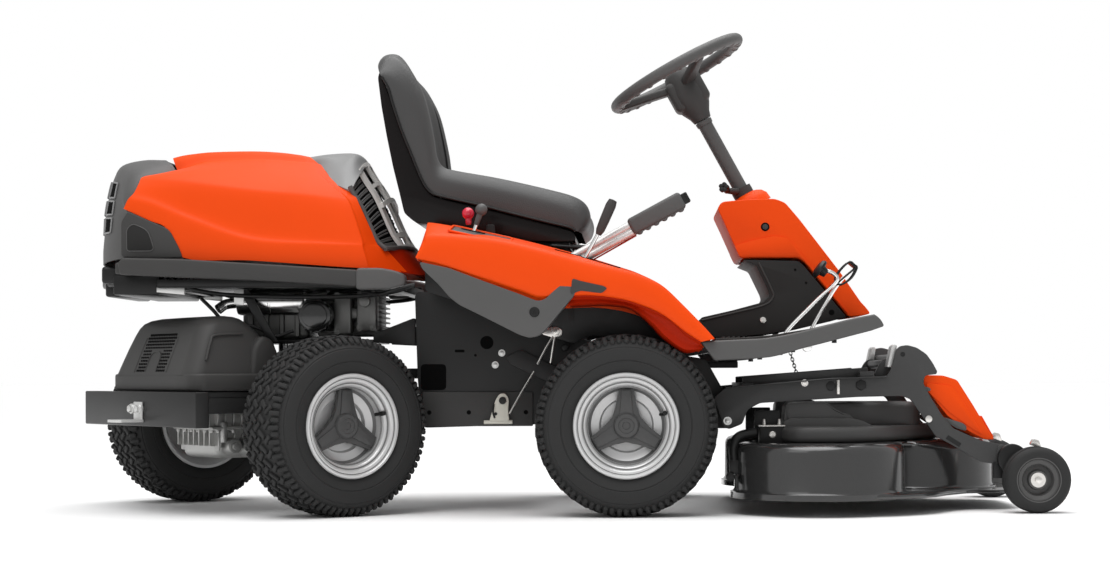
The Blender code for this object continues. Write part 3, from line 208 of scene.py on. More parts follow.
# ------------------------------------------------------------------ shapes
class Shape:
    """Simple forms that share one finish, gathered into one mesh."""

    def __init__(self):
        self.bm = bmesh.new()

    def take(self, bm, matrix=None, bevel=0.0, segments=2, angle=35):
        """Adds a closed form, with its sharp edges rounded."""
        bmesh.ops.remove_doubles(bm, verts=bm.verts, dist=1e-6)
        bmesh.ops.recalc_face_normals(bm, faces=bm.faces)
        if bevel:
            sharp = [e for e in bm.edges if e.is_manifold and e.calc_face_angle(0) > math.radians(angle)]
            bmesh.ops.bevel(bm, geom=sharp, offset=bevel, segments=segments, profile=0.5, affect="EDGES",
                            clamp_overlap=True)
        if matrix:
            bmesh.ops.transform(bm, matrix=matrix, verts=bm.verts)
        mesh = bpy.data.meshes.new("form")
        bm.to_mesh(mesh)
        bm.free()
        self.bm.from_mesh(mesh)
        bpy.data.meshes.remove(mesh)
        return self

    def block(self, low, high, bevel=0.002, segments=2, matrix=None):
        """A box between two opposite corners."""
        bm = bmesh.new()
        bmesh.ops.create_cube(bm, size=1)
        size = Vector(high) - Vector(low)
        middle = (Vector(high) + Vector(low)) / 2
        move = Matrix.Translation(middle) @ Matrix.Diagonal((*size, 1))
        bmesh.ops.transform(bm, matrix=move, verts=bm.verts)
        return self.take(bm, matrix, bevel, segments)

    def cone(self, start, end, radius, end_radius, steps=24, bevel=0.0, matrix=None):
        """A round bar that may narrow from start to end."""
        start = Vector(start)
        end = Vector(end)
        length = (end - start).length
        bm = bmesh.new()
        bmesh.ops.create_cone(bm, cap_ends=True, segments=steps, radius1=radius, radius2=end_radius,
                              depth=length)
        turn = (end - start).to_track_quat("Z", "Y").to_matrix().to_4x4()
        bmesh.ops.transform(bm, matrix=Matrix.Translation((start + end) / 2) @ turn, verts=bm.verts)
        return self.take(bm, matrix, bevel)

    def rod(self, start, end, radius, steps=24, bevel=0.0, matrix=None):
        """A round bar."""
        return self.cone(start, end, radius, radius, steps, bevel, matrix)

    def ball(self, centre, radius):
        """A ball."""
        bm = bmesh.new()
        bmesh.ops.create_uvsphere(bm, u_segments=24, v_segments=16, radius=radius)
        return self.take(bm, Matrix.Translation(centre))

    def prism(self, outline, low, high, bevel=0.001, segments=2, matrix=None):
        """A flat outline of (x, y) points, from z low to z high."""
        bm = bmesh.new()
        face = bm.faces.new([bm.verts.new((x, y, low)) for x, y in outline])
        raised = bmesh.ops.extrude_face_region(bm, geom=[face])["geom"]
        lifted = [v for v in raised if isinstance(v, bmesh.types.BMVert)]
        bmesh.ops.translate(bm, vec=(0, 0, high - low), verts=lifted)
        return self.take(bm, matrix, bevel, segments)

    def plate(self, outline, y_low, y_high, bevel=0.001, segments=2, matrix=None):
        """A side-view outline of (x, z) points, from y_low to y_high."""
        turn = Matrix.Rotation(math.pi / 2, 4, "X")
        whole = turn if matrix is None else matrix @ turn
        return self.prism(outline, -max(y_low, y_high), -min(y_low, y_high), bevel, segments, whole)

    def lathe(self, profile, steps=64, matrix=None):
        """A closed profile of (radius, height) points, turned about Z."""
        bm = bmesh.new()
        rings = []
        for i in range(steps):
            angle = i * math.tau / steps
            rings.append([bm.verts.new((r * math.cos(angle), r * math.sin(angle), z)) for r, z in profile])
        for i, ring in enumerate(rings):
            onward = rings[(i + 1) % steps]
            for j in range(len(profile)):
                k = (j + 1) % len(profile)
                bm.faces.new((ring[j], onward[j], onward[k], ring[k]))
        return self.take(bm, matrix)

    def tube(self, points, radius, steps=12, per_span=6):
        """A round bar along a smooth line."""
        line = refine(points, per_span)
        bm = bmesh.new()
        rings = []
        side = None
        for i, point in enumerate(line):
            along = (line[min(i + 1, len(line) - 1)] - line[max(i - 1, 0)]).normalized()
            side = side or along.orthogonal().normalized()
            side = (side - along * side.dot(along)).normalized()
            other = along.cross(side)
            ring = []
            for x, y in circle(1.0, steps):
                ring.append(bm.verts.new(point + (side * x + other * y) * radius))
            rings.append(ring)
        for ring, onward in zip(rings, rings[1:]):
            for k in range(steps):
                bm.faces.new((ring[k], ring[(k + 1) % steps], onward[(k + 1) % steps], onward[k]))
        bm.faces.new(rings[0])
        bm.faces.new(rings[-1])
        return self.take(bm)

    def sheet(self, points, thickness):
        """A grid of points with a wall of that thickness, grown on its inner side."""
        bm = bmesh.new()
        verts = [[bm.verts.new(p) for p in row] for row in points]
        for row, onward in zip(verts, verts[1:]):
            for i in range(len(row) - 1):
                bm.faces.new((row[i], row[i + 1], onward[i + 1], onward[i]))
        bmesh.ops.remove_doubles(bm, verts=bm.verts, dist=1e-5)
        bmesh.ops.recalc_face_normals(bm, faces=bm.faces)
        if thickness:
            bmesh.ops.solidify(bm, geom=bm.faces[:], thickness=thickness)
        return self.take(bm)

    def loft(self, rings):
        """A closed form through rings of equally many points, capped at both ends."""
        bm = bmesh.new()
        verts = [[bm.verts.new(p) for p in ring] for ring in rings]
        for ring, onward in zip(verts, verts[1:]):
            for i in range(len(ring)):
                j = (i + 1) % len(ring)
                bm.faces.new((ring[i], ring[j], onward[j], onward[i]))
        bm.faces.new(verts[0])
        bm.faces.new(verts[-1])
        return self.take(bm)

    def bolt(self, at, out, radius=0.008, height=0.005, washer=True):
        """A hexagon head on a washer, pointing out."""
        at = Vector(at)
        out = Vector(out).normalized()
        if washer:
            self.rod(at, at + out * 0.0015, radius * 1.45, steps=28)
        self.rod(at, at + out * (height + 0.0015), radius, steps=6, bevel=radius * 0.1)
        return self

    def cutter(self, name):
        """An object without a finish, which is removed once it has cut."""
        return self.link(name, DATUM)

    def link(self, name, place):
        """Turns the gathered forms into an object in the scene."""
        bmesh.ops.transform(self.bm, matrix=place, verts=self.bm.verts)
        mesh = bpy.data.meshes.new(name)
        self.bm.to_mesh(mesh)
        self.bm.free()
        obj = bpy.data.objects.new(name, mesh)
        bpy.context.scene.collection.objects.link(obj)
        return obj

    def show(self, name, look, body, *stands_for, place=DATUM, smooth=38):
        """Finishes the piece: its finish, the body it rides on and the CAD nodes it stands for."""
        obj = self.link(name, place)
        smooth_mesh(obj.data, smooth)
        mat, slot = FINISHES[look]
        obj.data.materials.append(mat)
        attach(obj, body)
        if stands_for:
            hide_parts(*stands_for)
        return obj


def smooth_mesh(mesh, smooth):
    """Smooth shading, with edges sharper than that angle in degrees kept crisp."""
    mesh.shade_smooth()
    mesh.set_sharp_from_angle(angle=math.radians(smooth))


def bake(obj):
    """Applies an object's modifiers to its mesh."""
    graph = bpy.context.evaluated_depsgraph_get()
    mesh = bpy.data.meshes.new_from_object(obj.evaluated_get(graph))
    obj.modifiers.clear()
    obj.data = mesh
    smooth_mesh(mesh, BOWL_SMOOTH)


# ------------------------------------------------------------------ road wheels
HALF_TRACK = 0.3575
AXLE_Z = 0.1988
FRONT_AXLE_X = 0.18
REAR_AXLE_X = -0.064  # from the steering pivot
LUGS = 38  # pairs of shoulder lugs round a tyre


def tyre_section():
    """Half of the tyre's outer section, from the bead to the middle of the tread."""
    return [(0.106, 0.06), (0.1085, 0.07), (0.116, 0.0745), (0.118, 0.0722), (0.126, 0.0765),
            (0.14, 0.0812), (0.142, 0.08), (0.144, 0.0818), (0.156, 0.082), (0.168, 0.0795), (0.17, 0.0775),
            (0.1725, 0.078), (0.18, 0.072), (0.187, 0.062), (0.192, 0.048), (0.194, 0.03), (0.1948, 0.0)]


def tyre(shape):
    """The tyre's body and its lugs: two on each shoulder and three rows on each half of the tread."""
    half = tyre_section()
    outside = half + [(r, -z) for r, z in reversed(half[:-1])]
    shape.lathe(outside + [(0.112, -0.05), (0.17, -0.06), (0.186, 0.0), (0.17, 0.06), (0.112, 0.05)], 120)
    for i in range(LUGS):
        for side in (-1, 1):
            turn = (i + 0.25 * side) * math.tau / LUGS
            out = Matrix.Rotation(turn, 4, "Z")
            lean = Matrix.Rotation(side * math.radians(-36), 4, "Y")
            spot = out @ Matrix.Translation((0.1862, 0, side * 0.065)) @ lean
            for offset, length in ((-0.0078, 0.0135), (0.0068, 0.008)):
                shape.block((-0.004, offset - 0.0052, -length), (0.0066, offset + 0.0052, 0.011), 0.0028, 1,
                            spot)
            for across, skew, shift in ((0.047, 38, 0.55), (0.027, -38, 0.2), (0.0085, 38, 0.7)):
                twist = Matrix.Rotation(side * math.radians(skew), 4, "X")
                step = Matrix.Rotation(shift * math.tau / LUGS, 4, "Z")
                drop = 0.0022 if across > 0.04 else 0.0
                spot = out @ step @ Matrix.Translation((0.1948 - drop, 0, side * across)) @ twist
                shape.block((-0.004, -0.005, -0.0135), (0.0055, 0.005, 0.0135), 0.0016, 1, spot)


def rim_profile():
    """The rim's whole section, from the hub's outer face round to its inner face."""
    return [(0.0135, 0.016), (0.04, 0.016), (0.056, 0.018), (0.06, 0.026), (0.078, 0.029), (0.0835, 0.034),
            (0.086, 0.052), (0.089, 0.0605), (0.0935, 0.064), (0.0955, 0.064), (0.0965, 0.07),
            (0.0995, 0.0735), (0.104, 0.0745), (0.1062, 0.0735), (0.1068, 0.077), (0.1095, 0.0798),
            (0.1135, 0.0795), (0.1155, 0.0765), (0.115, 0.0735), (0.1115, 0.072), (0.103, 0.066),
            (0.1, 0.05), (0.098, -0.05), (0.106, -0.07), (0.1155, -0.075), (0.1155, -0.079),
            (0.109, -0.0798), (0.096, -0.06), (0.08, -0.01), (0.04, 0.002), (0.0135, 0.002)]


def hub_cap_outline():
    """Three spokes, wide where they leave the hub."""
    outline = []
    for k in range(3):
        turn = math.radians(90 + 120 * k)
        for radius, aside in ((0.045, -0.0225), (0.0815, -0.0165), (0.0815, 0.0165), (0.045, 0.0225)):
            x = radius * math.cos(turn) - aside * math.sin(turn)
            y = radius * math.sin(turn) + aside * math.cos(turn)
            outline.append((x, y))
        middle = turn + math.radians(60)
        outline.append((0.036 * math.cos(middle), 0.036 * math.sin(middle)))
    return outline


def road_wheel(name, place, centre, outward):
    """A tyre, its rim and its hub cap. outward is +1 for a wheel whose cap faces left, -1 for right."""
    stand = place @ Matrix.Translation(centre) @ Matrix.Rotation(-outward * math.pi / 2, 4, "X")
    if outward > 0:
        stand = stand @ Matrix.Rotation(math.pi, 4, "Z")
    rubber = Shape()
    tyre(rubber)
    rubber.show(f"{name}_tyre_looks", "rubber", name, f"{name}_tyre", place=stand, smooth=30)
    rim = Shape()
    rim.lathe(rim_profile(), 96)
    rim.show(f"{name}_rim_looks", "silver", name, f"{name}_rim", place=stand)
    # painted shade: thin dark grey rings stand in for the shade in the rim's grooves
    groove_shade_rings = Shape()
    for radius, height, wide in ((0.0958, 0.065, 0.003), (0.1064, 0.0745, 0.0018), (0.0862, 0.053, 0.003)):
        section = [(radius - wide, height), (radius, height + 0.0013), (radius + wide, height),
                   (radius, height - 0.002)]
        groove_shade_rings.lathe(section, 96)
    groove_shade_rings.lathe([(0.0775, 0.029), (0.08, 0.031), (0.0835, 0.0345), (0.08, 0.028)], 96)
    groove_shade_rings.show(f"{name}_grooves", "groove", name, place=stand)
    cap = Shape()
    cap.prism(filleted(hub_cap_outline(), 0.003), 0.03, 0.046, 0.0026, 2)
    for k in range(3):
        turn = Matrix.Rotation(math.radians(90 + 120 * k), 4, "Z")
        cap.prism([(0.02, -0.015), (0.078, -0.0105), (0.078, 0.0105), (0.02, 0.015)], 0.044, 0.049, 0.002,
                  2, turn)
    boss = [(0.0, 0.0505), (0.008, 0.0508), (0.0088, 0.0526), (0.0165, 0.0526), (0.0174, 0.0545),
            (0.0245, 0.0542), (0.0285, 0.05), (0.03, 0.04), (0.0, 0.04)]
    cap.lathe(boss, 48)
    cap.show(f"{name}_hub_cap", "hubcap", name, place=stand)
    valve = Shape()
    turn = Matrix.Rotation(math.radians(18), 4, "Z")
    valve.cone((0.078, 0, 0.046), (0.086, 0, 0.064), 0.0042, 0.0038, 16, 0.0008, turn)
    valve.cone((0.084, 0, 0.06), (0.089, 0, 0.071), 0.0052, 0.0048, 16, 0.001, turn)
    valve.show(f"{name}_valve", "black", name, place=stand)


def road_wheels():
    """Two front wheels on the chassis and two rear wheels on the swinging carriage."""
    for side, sign in SIDES.items():
        road_wheel(f"front_wheel_{side}", DATUM, (FRONT_AXLE_X, sign * HALF_TRACK, AXLE_Z), sign)
        road_wheel(f"rear_wheel_{side}", REAR, (REAR_AXLE_X, sign * HALF_TRACK, AXLE_Z), sign)


# ------------------------------------------------------------------ hood
HOOD_ROWS = [
    [(-0.949, -0.262, 0.686), (-0.89, -0.268, 0.659), (-0.85, -0.272, 0.64), (-0.812, -0.276, 0.575),
     (-0.66, -0.28, 0.568), (-0.48, -0.28, 0.5545), (-0.404, -0.2795, 0.55), (-0.39, -0.271, 0.549),
     (-0.318, -0.19, 0.543)],
    [(-0.939, -0.262, 0.707), (-0.893, -0.266, 0.697), (-0.85, -0.27, 0.68), (-0.8, -0.274, 0.655),
     (-0.66, -0.278, 0.612), (-0.5, -0.278, 0.602), (-0.419, -0.2755, 0.598), (-0.406, -0.266, 0.598),
     (-0.366, -0.215, 0.597)],
    [(-0.927, -0.256, 0.722), (-0.888, -0.259, 0.712), (-0.846, -0.262, 0.697), (-0.79, -0.265, 0.673),
     (-0.66, -0.2695, 0.632), (-0.5, -0.2725, 0.618), (-0.422, -0.2715, 0.614), (-0.409, -0.262, 0.613),
     (-0.385, -0.226, 0.613)],
    [(-0.918, -0.246, 0.745), (-0.88, -0.251, 0.742), (-0.835, -0.255, 0.738), (-0.78, -0.258, 0.73),
     (-0.66, -0.261, 0.714), (-0.54, -0.261, 0.702), (-0.45, -0.2565, 0.693), (-0.437, -0.249, 0.691),
     (-0.42, -0.236, 0.69)],
    [(-0.913, -0.232, 0.76), (-0.876, -0.238, 0.761), (-0.832, -0.242, 0.759), (-0.78, -0.245, 0.753),
     (-0.66, -0.247, 0.738), (-0.55, -0.247, 0.728), (-0.47, -0.24, 0.72), (-0.456, -0.233, 0.719),
     (-0.44, -0.222, 0.724)],
    [(-0.89, -0.19, 0.77), (-0.86, -0.195, 0.776), (-0.825, -0.198, 0.779), (-0.78, -0.198, 0.78),
     (-0.67, -0.196, 0.775), (-0.59, -0.193, 0.769), (-0.52, -0.19, 0.761), (-0.505, -0.188, 0.758),
     (-0.488, -0.185, 0.7545)],
    [(-0.852, -0.128, 0.78), (-0.836, -0.127, 0.79), (-0.815, -0.126, 0.798), (-0.78, -0.124, 0.805),
     (-0.69, -0.122, 0.809), (-0.62, -0.12, 0.806), (-0.56, -0.118, 0.801), (-0.544, -0.117, 0.799),
     (-0.526, -0.115, 0.796)],
    [(-0.86, -0.112, 0.784), (-0.842, -0.111, 0.794), (-0.818, -0.11, 0.802), (-0.78, -0.109, 0.809),
     (-0.69, -0.107, 0.813), (-0.622, -0.105, 0.81), (-0.566, -0.103, 0.806), (-0.552, -0.102, 0.804),
     (-0.536, -0.1, 0.802)],
    [(-0.874, -0.096, 0.812), (-0.856, -0.096, 0.817), (-0.83, -0.095, 0.822), (-0.785, -0.094, 0.828),
     (-0.692, -0.092, 0.83), (-0.626, -0.09, 0.827), (-0.582, -0.088, 0.822), (-0.569, -0.086, 0.82),
     (-0.554, -0.084, 0.817)],
    [(-0.878, -0.07, 0.82), (-0.858, -0.07, 0.825), (-0.832, -0.069, 0.829), (-0.787, -0.068, 0.833),
     (-0.692, -0.066, 0.835), (-0.63, -0.064, 0.832), (-0.588, -0.062, 0.827), (-0.576, -0.06, 0.825),
     (-0.562, -0.058, 0.822)],
    [(-0.88, 0.0, 0.825), (-0.86, 0.0, 0.829), (-0.834, 0.0, 0.833), (-0.787, 0.0, 0.837),
     (-0.692, 0.0, 0.838), (-0.632, 0.0, 0.834), (-0.594, 0.0, 0.83), (-0.583, 0.0, 0.828),
     (-0.571, 0.0, 0.826)],
]
TAIL_ROWS = [
    [(-0.812, -0.275, 0.572), (-0.88, -0.27, 0.574), (-0.939, -0.262, 0.575), (-0.984, -0.232, 0.571),
     (-1.018, -0.172, 0.566), (-1.032, -0.085, 0.562), (-1.037, 0.0, 0.56)],
    [(-0.828, -0.273, 0.602), (-0.89, -0.268, 0.604), (-0.939, -0.258, 0.602), (-0.985, -0.226, 0.6),
     (-1.019, -0.166, 0.598), (-1.035, -0.085, 0.596), (-1.04, 0.0, 0.595)],
    [(-0.85, -0.269, 0.634), (-0.9, -0.264, 0.636), (-0.939, -0.253, 0.638), (-0.983, -0.22, 0.636),
     (-1.017, -0.16, 0.636), (-1.033, -0.083, 0.636), (-1.039, 0.0, 0.636)],
    [(-0.893, -0.263, 0.656), (-0.92, -0.258, 0.662), (-0.944, -0.248, 0.67), (-0.981, -0.212, 0.676),
     (-1.015, -0.154, 0.68), (-1.032, -0.081, 0.682), (-1.038, 0.0, 0.683)],
    [(-0.944, -0.256, 0.682), (-0.95, -0.252, 0.692), (-0.957, -0.24, 0.704), (-0.979, -0.203, 0.714),
     (-1.009, -0.148, 0.72), (-1.027, -0.078, 0.724), (-1.033, 0.0, 0.726)],
    [(-0.922, -0.248, 0.724), (-0.934, -0.243, 0.734), (-0.951, -0.228, 0.744), (-0.973, -0.19, 0.756),
     (-0.999, -0.14, 0.764), (-1.017, -0.074, 0.768), (-1.023, 0.0, 0.77)],
    [(-0.906, -0.222, 0.757), (-0.918, -0.216, 0.768), (-0.936, -0.2, 0.778), (-0.958, -0.168, 0.788),
     (-0.982, -0.126, 0.796), (-0.999, -0.068, 0.801), (-1.005, 0.0, 0.803)],
    [(-0.868, -0.158, 0.774), (-0.884, -0.152, 0.786), (-0.898, -0.142, 0.796), (-0.917, -0.126, 0.805),
     (-0.938, -0.1, 0.811), (-0.952, -0.058, 0.815), (-0.957, 0.0, 0.816)],
    [(-0.858, -0.122, 0.778), (-0.866, -0.118, 0.79), (-0.874, -0.112, 0.8), (-0.884, -0.1, 0.807),
     (-0.894, -0.08, 0.813), (-0.904, -0.046, 0.817), (-0.91, 0.0, 0.819)],
]


def raised(patch, lift):
    """Part of a grid of points, moved outward from the hood's middle."""
    middle = Vector((-0.75, 0, 0.6))
    lifted = []
    for row in patch:
        lifted.append([p + (Vector((p.x, p.y, 0.66)) - middle).normalized() * lift for p in row])
    return lifted


def hood_vents(surface):
    """Slots of painted shade with raised frames down the tail, in columns across it."""
    slots = Shape()
    frames = Shape()
    middle = len(surface[0]) // 2
    for row in (10, 15, 20):
        for start in (-17, -9, -2, 5, 13):
            patch = [r[middle + start : middle + start + 5] for r in surface[row : row + 5]]
            slots.sheet(raised(patch, 0.0012), 0.001)
            lifted = raised(patch, 0.0022)
            right_side = [r[-1] for r in lifted[1:]]
            left_side = [r[0] for r in lifted[-2:0:-1]]
            edge = lifted[0] + right_side + lifted[-1][-2::-1] + left_side
            frames.tube([*edge, edge[0]], 0.002, 8, 1)
    slots.show("hood_vent_slots", "painted_shade", "hood")
    frames.show("hood_vent_frames", "cap", "hood")


def hood_intake():
    """The dark corner moulding on each side, with a shallow recess drawn in it as a darker plate of painted
    shade, ringed by a lighter line of painted highlight.
    """
    outline = [(-0.954, 0.577), (-0.954, 0.656), (-0.938, 0.68), (-0.889, 0.658), (-0.855, 0.644),
               (-0.842, 0.635), (-0.833, 0.619), (-0.821, 0.597), (-0.812, 0.574)]
    inner = [(-0.94, 0.59), (-0.94, 0.64), (-0.926, 0.652), (-0.9, 0.641), (-0.89, 0.632), (-0.884, 0.616),
             (-0.878, 0.596), (-0.884, 0.59)]
    for side, sign in SIDES.items():
        slant = Matrix.Rotation(sign * math.radians(5.5), 4, "Z")
        lean = Matrix.Translation((-0.88, sign * 0.2685, 0)) @ slant @ Matrix.Translation((0.88, 0, 0))
        panel = Shape()
        panel.plate(filleted(outline, 0.008), -0.0055, 0.0055, 0.004, 3, lean)
        panel.show(f"hood_intake_{side}", "charcoal", "hood")
        # painted shade: the recess is a darker plate, not a hollow
        recess = Shape()
        recess.plate(filleted(inner, 0.008), -0.0065, 0.0065, 0.001, 2, lean)
        recess.show(f"hood_intake_shaded_recess_{side}", "tower", "hood")
        # painted highlight: a lighter line round the recess stands in for light on its edge
        rim = Shape()
        ring = [lean @ Vector((x, sign * 0.0062, z)) for x, z in filleted(inner, 0.008)]
        rim.tube([*ring, ring[0]], 0.0011, 8, 1)
        rim.show(f"hood_intake_highlight_rim_{side}", "trim", "hood")


NOSE = [(-0.571, 0.826), (-0.526, 0.832), (-0.464, 0.835), (-0.452, 0.83), (-0.436, 0.813), (-0.416, 0.778),
        (-0.394, 0.746), (-0.376, 0.71), (-0.348, 0.647), (-0.324, 0.607)]
NOSE_SIDE = [(-0.446, 0.736), (-0.437, 0.718), (-0.42, 0.69), (-0.403, 0.652), (-0.385, 0.613),
             (-0.366, 0.597)]


def nose_point(down, across, sink=0.0):
    """A point of the front end. Down runs 0 to 1, cap to chin; across runs -1 to 1, right to left."""
    middle = refine([(x, 0, z) for x, z in NOSE[4:]], 8)
    edge = refine([(x, 0, z) for x, z in NOSE_SIDE], 8)
    centre = middle[round(down * (len(middle) - 1))]
    side = edge[round(down * (len(edge) - 1))]
    point = centre.lerp(side, across * across)
    return Vector((point.x - sink, across * 0.228, point.z - sink * 0.3))


def hood_cap():
    """The grey cap over the front end."""
    cap_rows = [
        [(-0.526, -0.118, 0.793), (-0.507, -0.154, 0.775), (-0.49, -0.19, 0.75), (-0.466, -0.214, 0.738),
         (-0.442, -0.228, 0.728)],
        [(-0.536, -0.1, 0.802), (-0.512, -0.12, 0.8), (-0.485, -0.146, 0.788), (-0.461, -0.162, 0.778),
         (-0.436, -0.186, 0.756)],
        [(-0.555, -0.083, 0.817), (-0.52, -0.092, 0.819), (-0.48, -0.104, 0.813), (-0.454, -0.118, 0.805),
         (-0.429, -0.13, 0.783)],
        [(-0.563, -0.056, 0.822), (-0.522, -0.056, 0.828), (-0.472, -0.056, 0.83), (-0.447, -0.06, 0.823),
         (-0.43, -0.064, 0.801)],
        [(-0.571, 0.0, 0.826), (-0.525, 0.0, 0.832), (-0.466, 0.0, 0.8345), (-0.443, 0.0, 0.826),
         (-0.428, 0.0, 0.805)],
    ]
    cap = Shape()
    cap.sheet(grid(mirror_rows(cap_rows), 5, 5), 0.004)
    cap.show("hood_cap", "cap", "chassis", "hood_front_grille", smooth=45)


def hood_front_backing():
    """A dark wall of painted shade behind the louvres."""
    backing = Shape()
    backing.sheet([[nose_point(d / 12, a * 0.105, 0.018) for a in range(-8, 9)] for d in range(13)], 0.003)
    backing.show("hood_front_backing", "painted_shade", "chassis")


def hood_louvres():
    """Rows of short bars on both sides of the lattice."""
    louvres = Shape()
    for step in range(2, 27):
        for low, high in ((0.6, 0.97), (-0.97, -0.6)):
            line = [nose_point(step / 27, low + (high - low) * k / 4, 0.007) for k in range(5)]
            louvres.tube(line, 0.0022, 6, 1)
    louvres.show("hood_louvres", "trim", "chassis")


def hood_lattice():
    """Flat pale bars down and across, and the tube round them."""
    bars = Shape()
    for across in (-0.56, -0.19, 0.19, 0.56):
        bars.sheet([[nose_point(d / 16, across + 0.05 * k, -0.004) for k in (-1, -0.8, 0, 0.8, 1)]
                    for d in range(17)], 0.007)
    for down in (0.0, 0.27, 0.53, 0.79, 0.95):
        bars.sheet([[nose_point(down + 0.05 * k, a / 10 * 0.61, -0.004) for a in range(-10, 11)]
                    for k in (0, 0.2, 0.8, 1)], 0.007)
    bars.show("hood_lattice_bars", "lattice", "chassis", smooth=50)
    frame_bars = Shape()
    for sign in (-1, 1):
        frame_bars.tube([nose_point(d / 10, sign * 0.985) for d in range(11)], 0.0055, 10, 2)
    frame_bars.tube([nose_point(1.0, a / 8) for a in range(-8, 9)], 0.006, 10, 1)
    frame_bars.show("hood_lattice_edge", "trim", "chassis")


def hood_chin():
    """The hood's lower front edge, in the darker orange of painted shade."""
    chin_rows = [
        [(-0.33, -0.205, 0.543), (-0.296, -0.16, 0.541), (-0.276, -0.08, 0.54), (-0.27, 0.0, 0.54)],
        [(-0.368, -0.217, 0.59), (-0.336, -0.16, 0.594), (-0.322, -0.08, 0.597), (-0.318, 0.0, 0.598)],
        [(-0.38, -0.22, 0.602), (-0.346, -0.16, 0.604), (-0.334, -0.08, 0.606), (-0.33, 0.0, 0.606)],
    ]
    chin = Shape()
    chin.sheet(grid(mirror_columns(chin_rows), 6, 4), 0.003)
    chin.show("hood_chin", "shade", "hood", smooth=60)


def hood_front():
    """The front end: a grey cap that runs down into a pale lattice over dark louvres."""
    hood_cap()
    hood_front_backing()
    hood_louvres()
    hood_lattice()
    hood_chin()


def hood():
    """The orange shell, the tail with its vents and intakes, and the front end."""
    shell = Shape()
    shell.sheet(grid(mirror_rows(HOOD_ROWS), 6, 5), 0.0035)
    shell.show("hood_shell_looks", "orange", "hood", "hood_shell", smooth=60)
    tail = Shape()
    surface = grid(mirror_columns(TAIL_ROWS), 6, 5)
    tail.sheet(surface, 0.0035)
    tail.show("hood_tail_looks", "trim", "hood", "hood_rear_grille", smooth=60)
    hood_vents(surface)
    hood_intake()
    hood_front()


# ------------------------------------------------------------------ rail, tray and engine
def engine_tray():
    """The tray under the engine: boxes, ribs, side bars and a hose along each side."""
    box = Shape()
    plan = [(-1.045, -0.075), (-1.022, -0.14), (-0.99, -0.19), (-0.96, -0.205)]
    box.prism([*plan, *[(x, -y) for x, y in reversed(plan)]], 0.512, 0.556, 0.008, 2)
    box.block((-1.02, -0.15, 0.492), (-0.985, 0.15, 0.53), 0.006, 2)
    box.block((-0.985, -0.215, 0.494), (-0.88, 0.215, 0.54), 0.005, 2)
    for sign in SIDES.values():
        box.block((-1.015, sign * 0.185 - 0.02, 0.52), (-0.95, sign * 0.185 + 0.06, 0.56), 0.008, 3)
    for k in range(5):
        x = -0.872 + 0.015 * k
        box.block((x, -0.216, 0.508 - 0.003 * (k % 2)), (x + 0.01, 0.216, 0.534), 0.002, 1)
    for sign in SIDES.values():
        box.block((-0.88, sign * 0.225 - 0.012, 0.512), (-0.33, sign * 0.225 + 0.012, 0.528), 0.002)
        box.tube([(-0.86, sign * 0.205, 0.53), (-0.8, sign * 0.212, 0.505), (-0.7, sign * 0.214, 0.492),
                  (-0.52, sign * 0.214, 0.488), (-0.38, sign * 0.216, 0.494), (-0.3, sign * 0.222, 0.512)],
                 0.005, 10, 6)
    box.block((-0.35, -0.22, 0.5), (-0.325, 0.22, 0.52), 0.002)
    box.block((-0.88, -0.236, 0.509), (-0.33, 0.236, 0.514), 0.001)
    box.show("tray_box", "black", "chassis", "engine_tray")


def tray_lips():
    """Small bright lips on the tray."""
    lips = Shape()
    for sign in SIDES.values():
        lips.plate([(-0.886, 0.5), (-0.823, 0.494), (-0.823, 0.512), (-0.886, 0.512)],
                   sign * 0.208, sign * 0.217, 0.001)
        lips.plate([(-0.712, 0.472), (-0.69, 0.47), (-0.69, 0.506), (-0.712, 0.506)],
                   sign * 0.205, sign * 0.209, 0.001)
    lips.show("tray_lips", "steel", "chassis")


def muffler():
    """The muffler with its pipes."""
    muffler = Shape()
    muffler.rod((-0.716, -0.148, 0.478), (-0.56, -0.148, 0.478), 0.029, 48, 0.008)
    muffler.rod((-0.642, -0.148, 0.478), (-0.636, -0.148, 0.478), 0.0305, 48, 0.001)
    muffler.tube([(-0.716, -0.148, 0.478), (-0.742, -0.15, 0.474), (-0.758, -0.16, 0.462)], 0.012, 16, 6)
    muffler.tube([(-0.57, -0.15, 0.48), (-0.548, -0.15, 0.492), (-0.52, -0.12, 0.5)], 0.011, 16, 6)
    muffler.show("muffler_looks", "chrome", "chassis", "muffler")


def engine_straps():
    """The strap and the cables in front of the muffler."""
    straps = Shape()
    straps.plate([(-0.702, 0.506), (-0.68, 0.506), (-0.612, 0.386), (-0.634, 0.386)], -0.206, -0.198, 0.001)
    straps.tube([(-0.79, -0.19, 0.486), (-0.76, -0.2, 0.458), (-0.735, -0.2, 0.43), (-0.7, -0.19, 0.408)],
                0.0045, 8, 6)
    straps.tube([(-0.7, -0.19, 0.43), (-0.66, -0.196, 0.418), (-0.62, -0.196, 0.4), (-0.58, -0.19, 0.412)],
                0.004, 8, 6)
    straps.tube([(-0.42, -0.21, 0.5), (-0.38, -0.222, 0.494), (-0.34, -0.226, 0.506), (-0.3, -0.22, 0.516)],
                0.005, 8, 6)
    straps.show("engine_straps", "black", "chassis")


def tray_and_muffler():
    """What hangs under the hood's rail."""
    engine_tray()
    tray_lips()
    muffler()
    engine_straps()


def engine_block():
    """The crankcase, the blower housing and the neck to the head."""
    crank = Shape()
    crank.block((-0.715, -0.095, 0.3945), (-0.56, 0.095, 0.56), 0.012, 3)
    crank.cone((-0.635, 0, 0.55), (-0.635, 0, 0.7), 0.15, 0.13, 64, 0.006)
    crank.block((-0.52, -0.06, 0.5), (-0.42, 0.06, 0.64), 0.012, 3)
    for k in range(4):
        crank.block((-0.7 + 0.036 * k, -0.104, 0.4), (-0.688 + 0.036 * k, -0.09, 0.47), 0.002, 1)
    crank.show("engine_block_looks", "engine", "chassis", "engine_block")


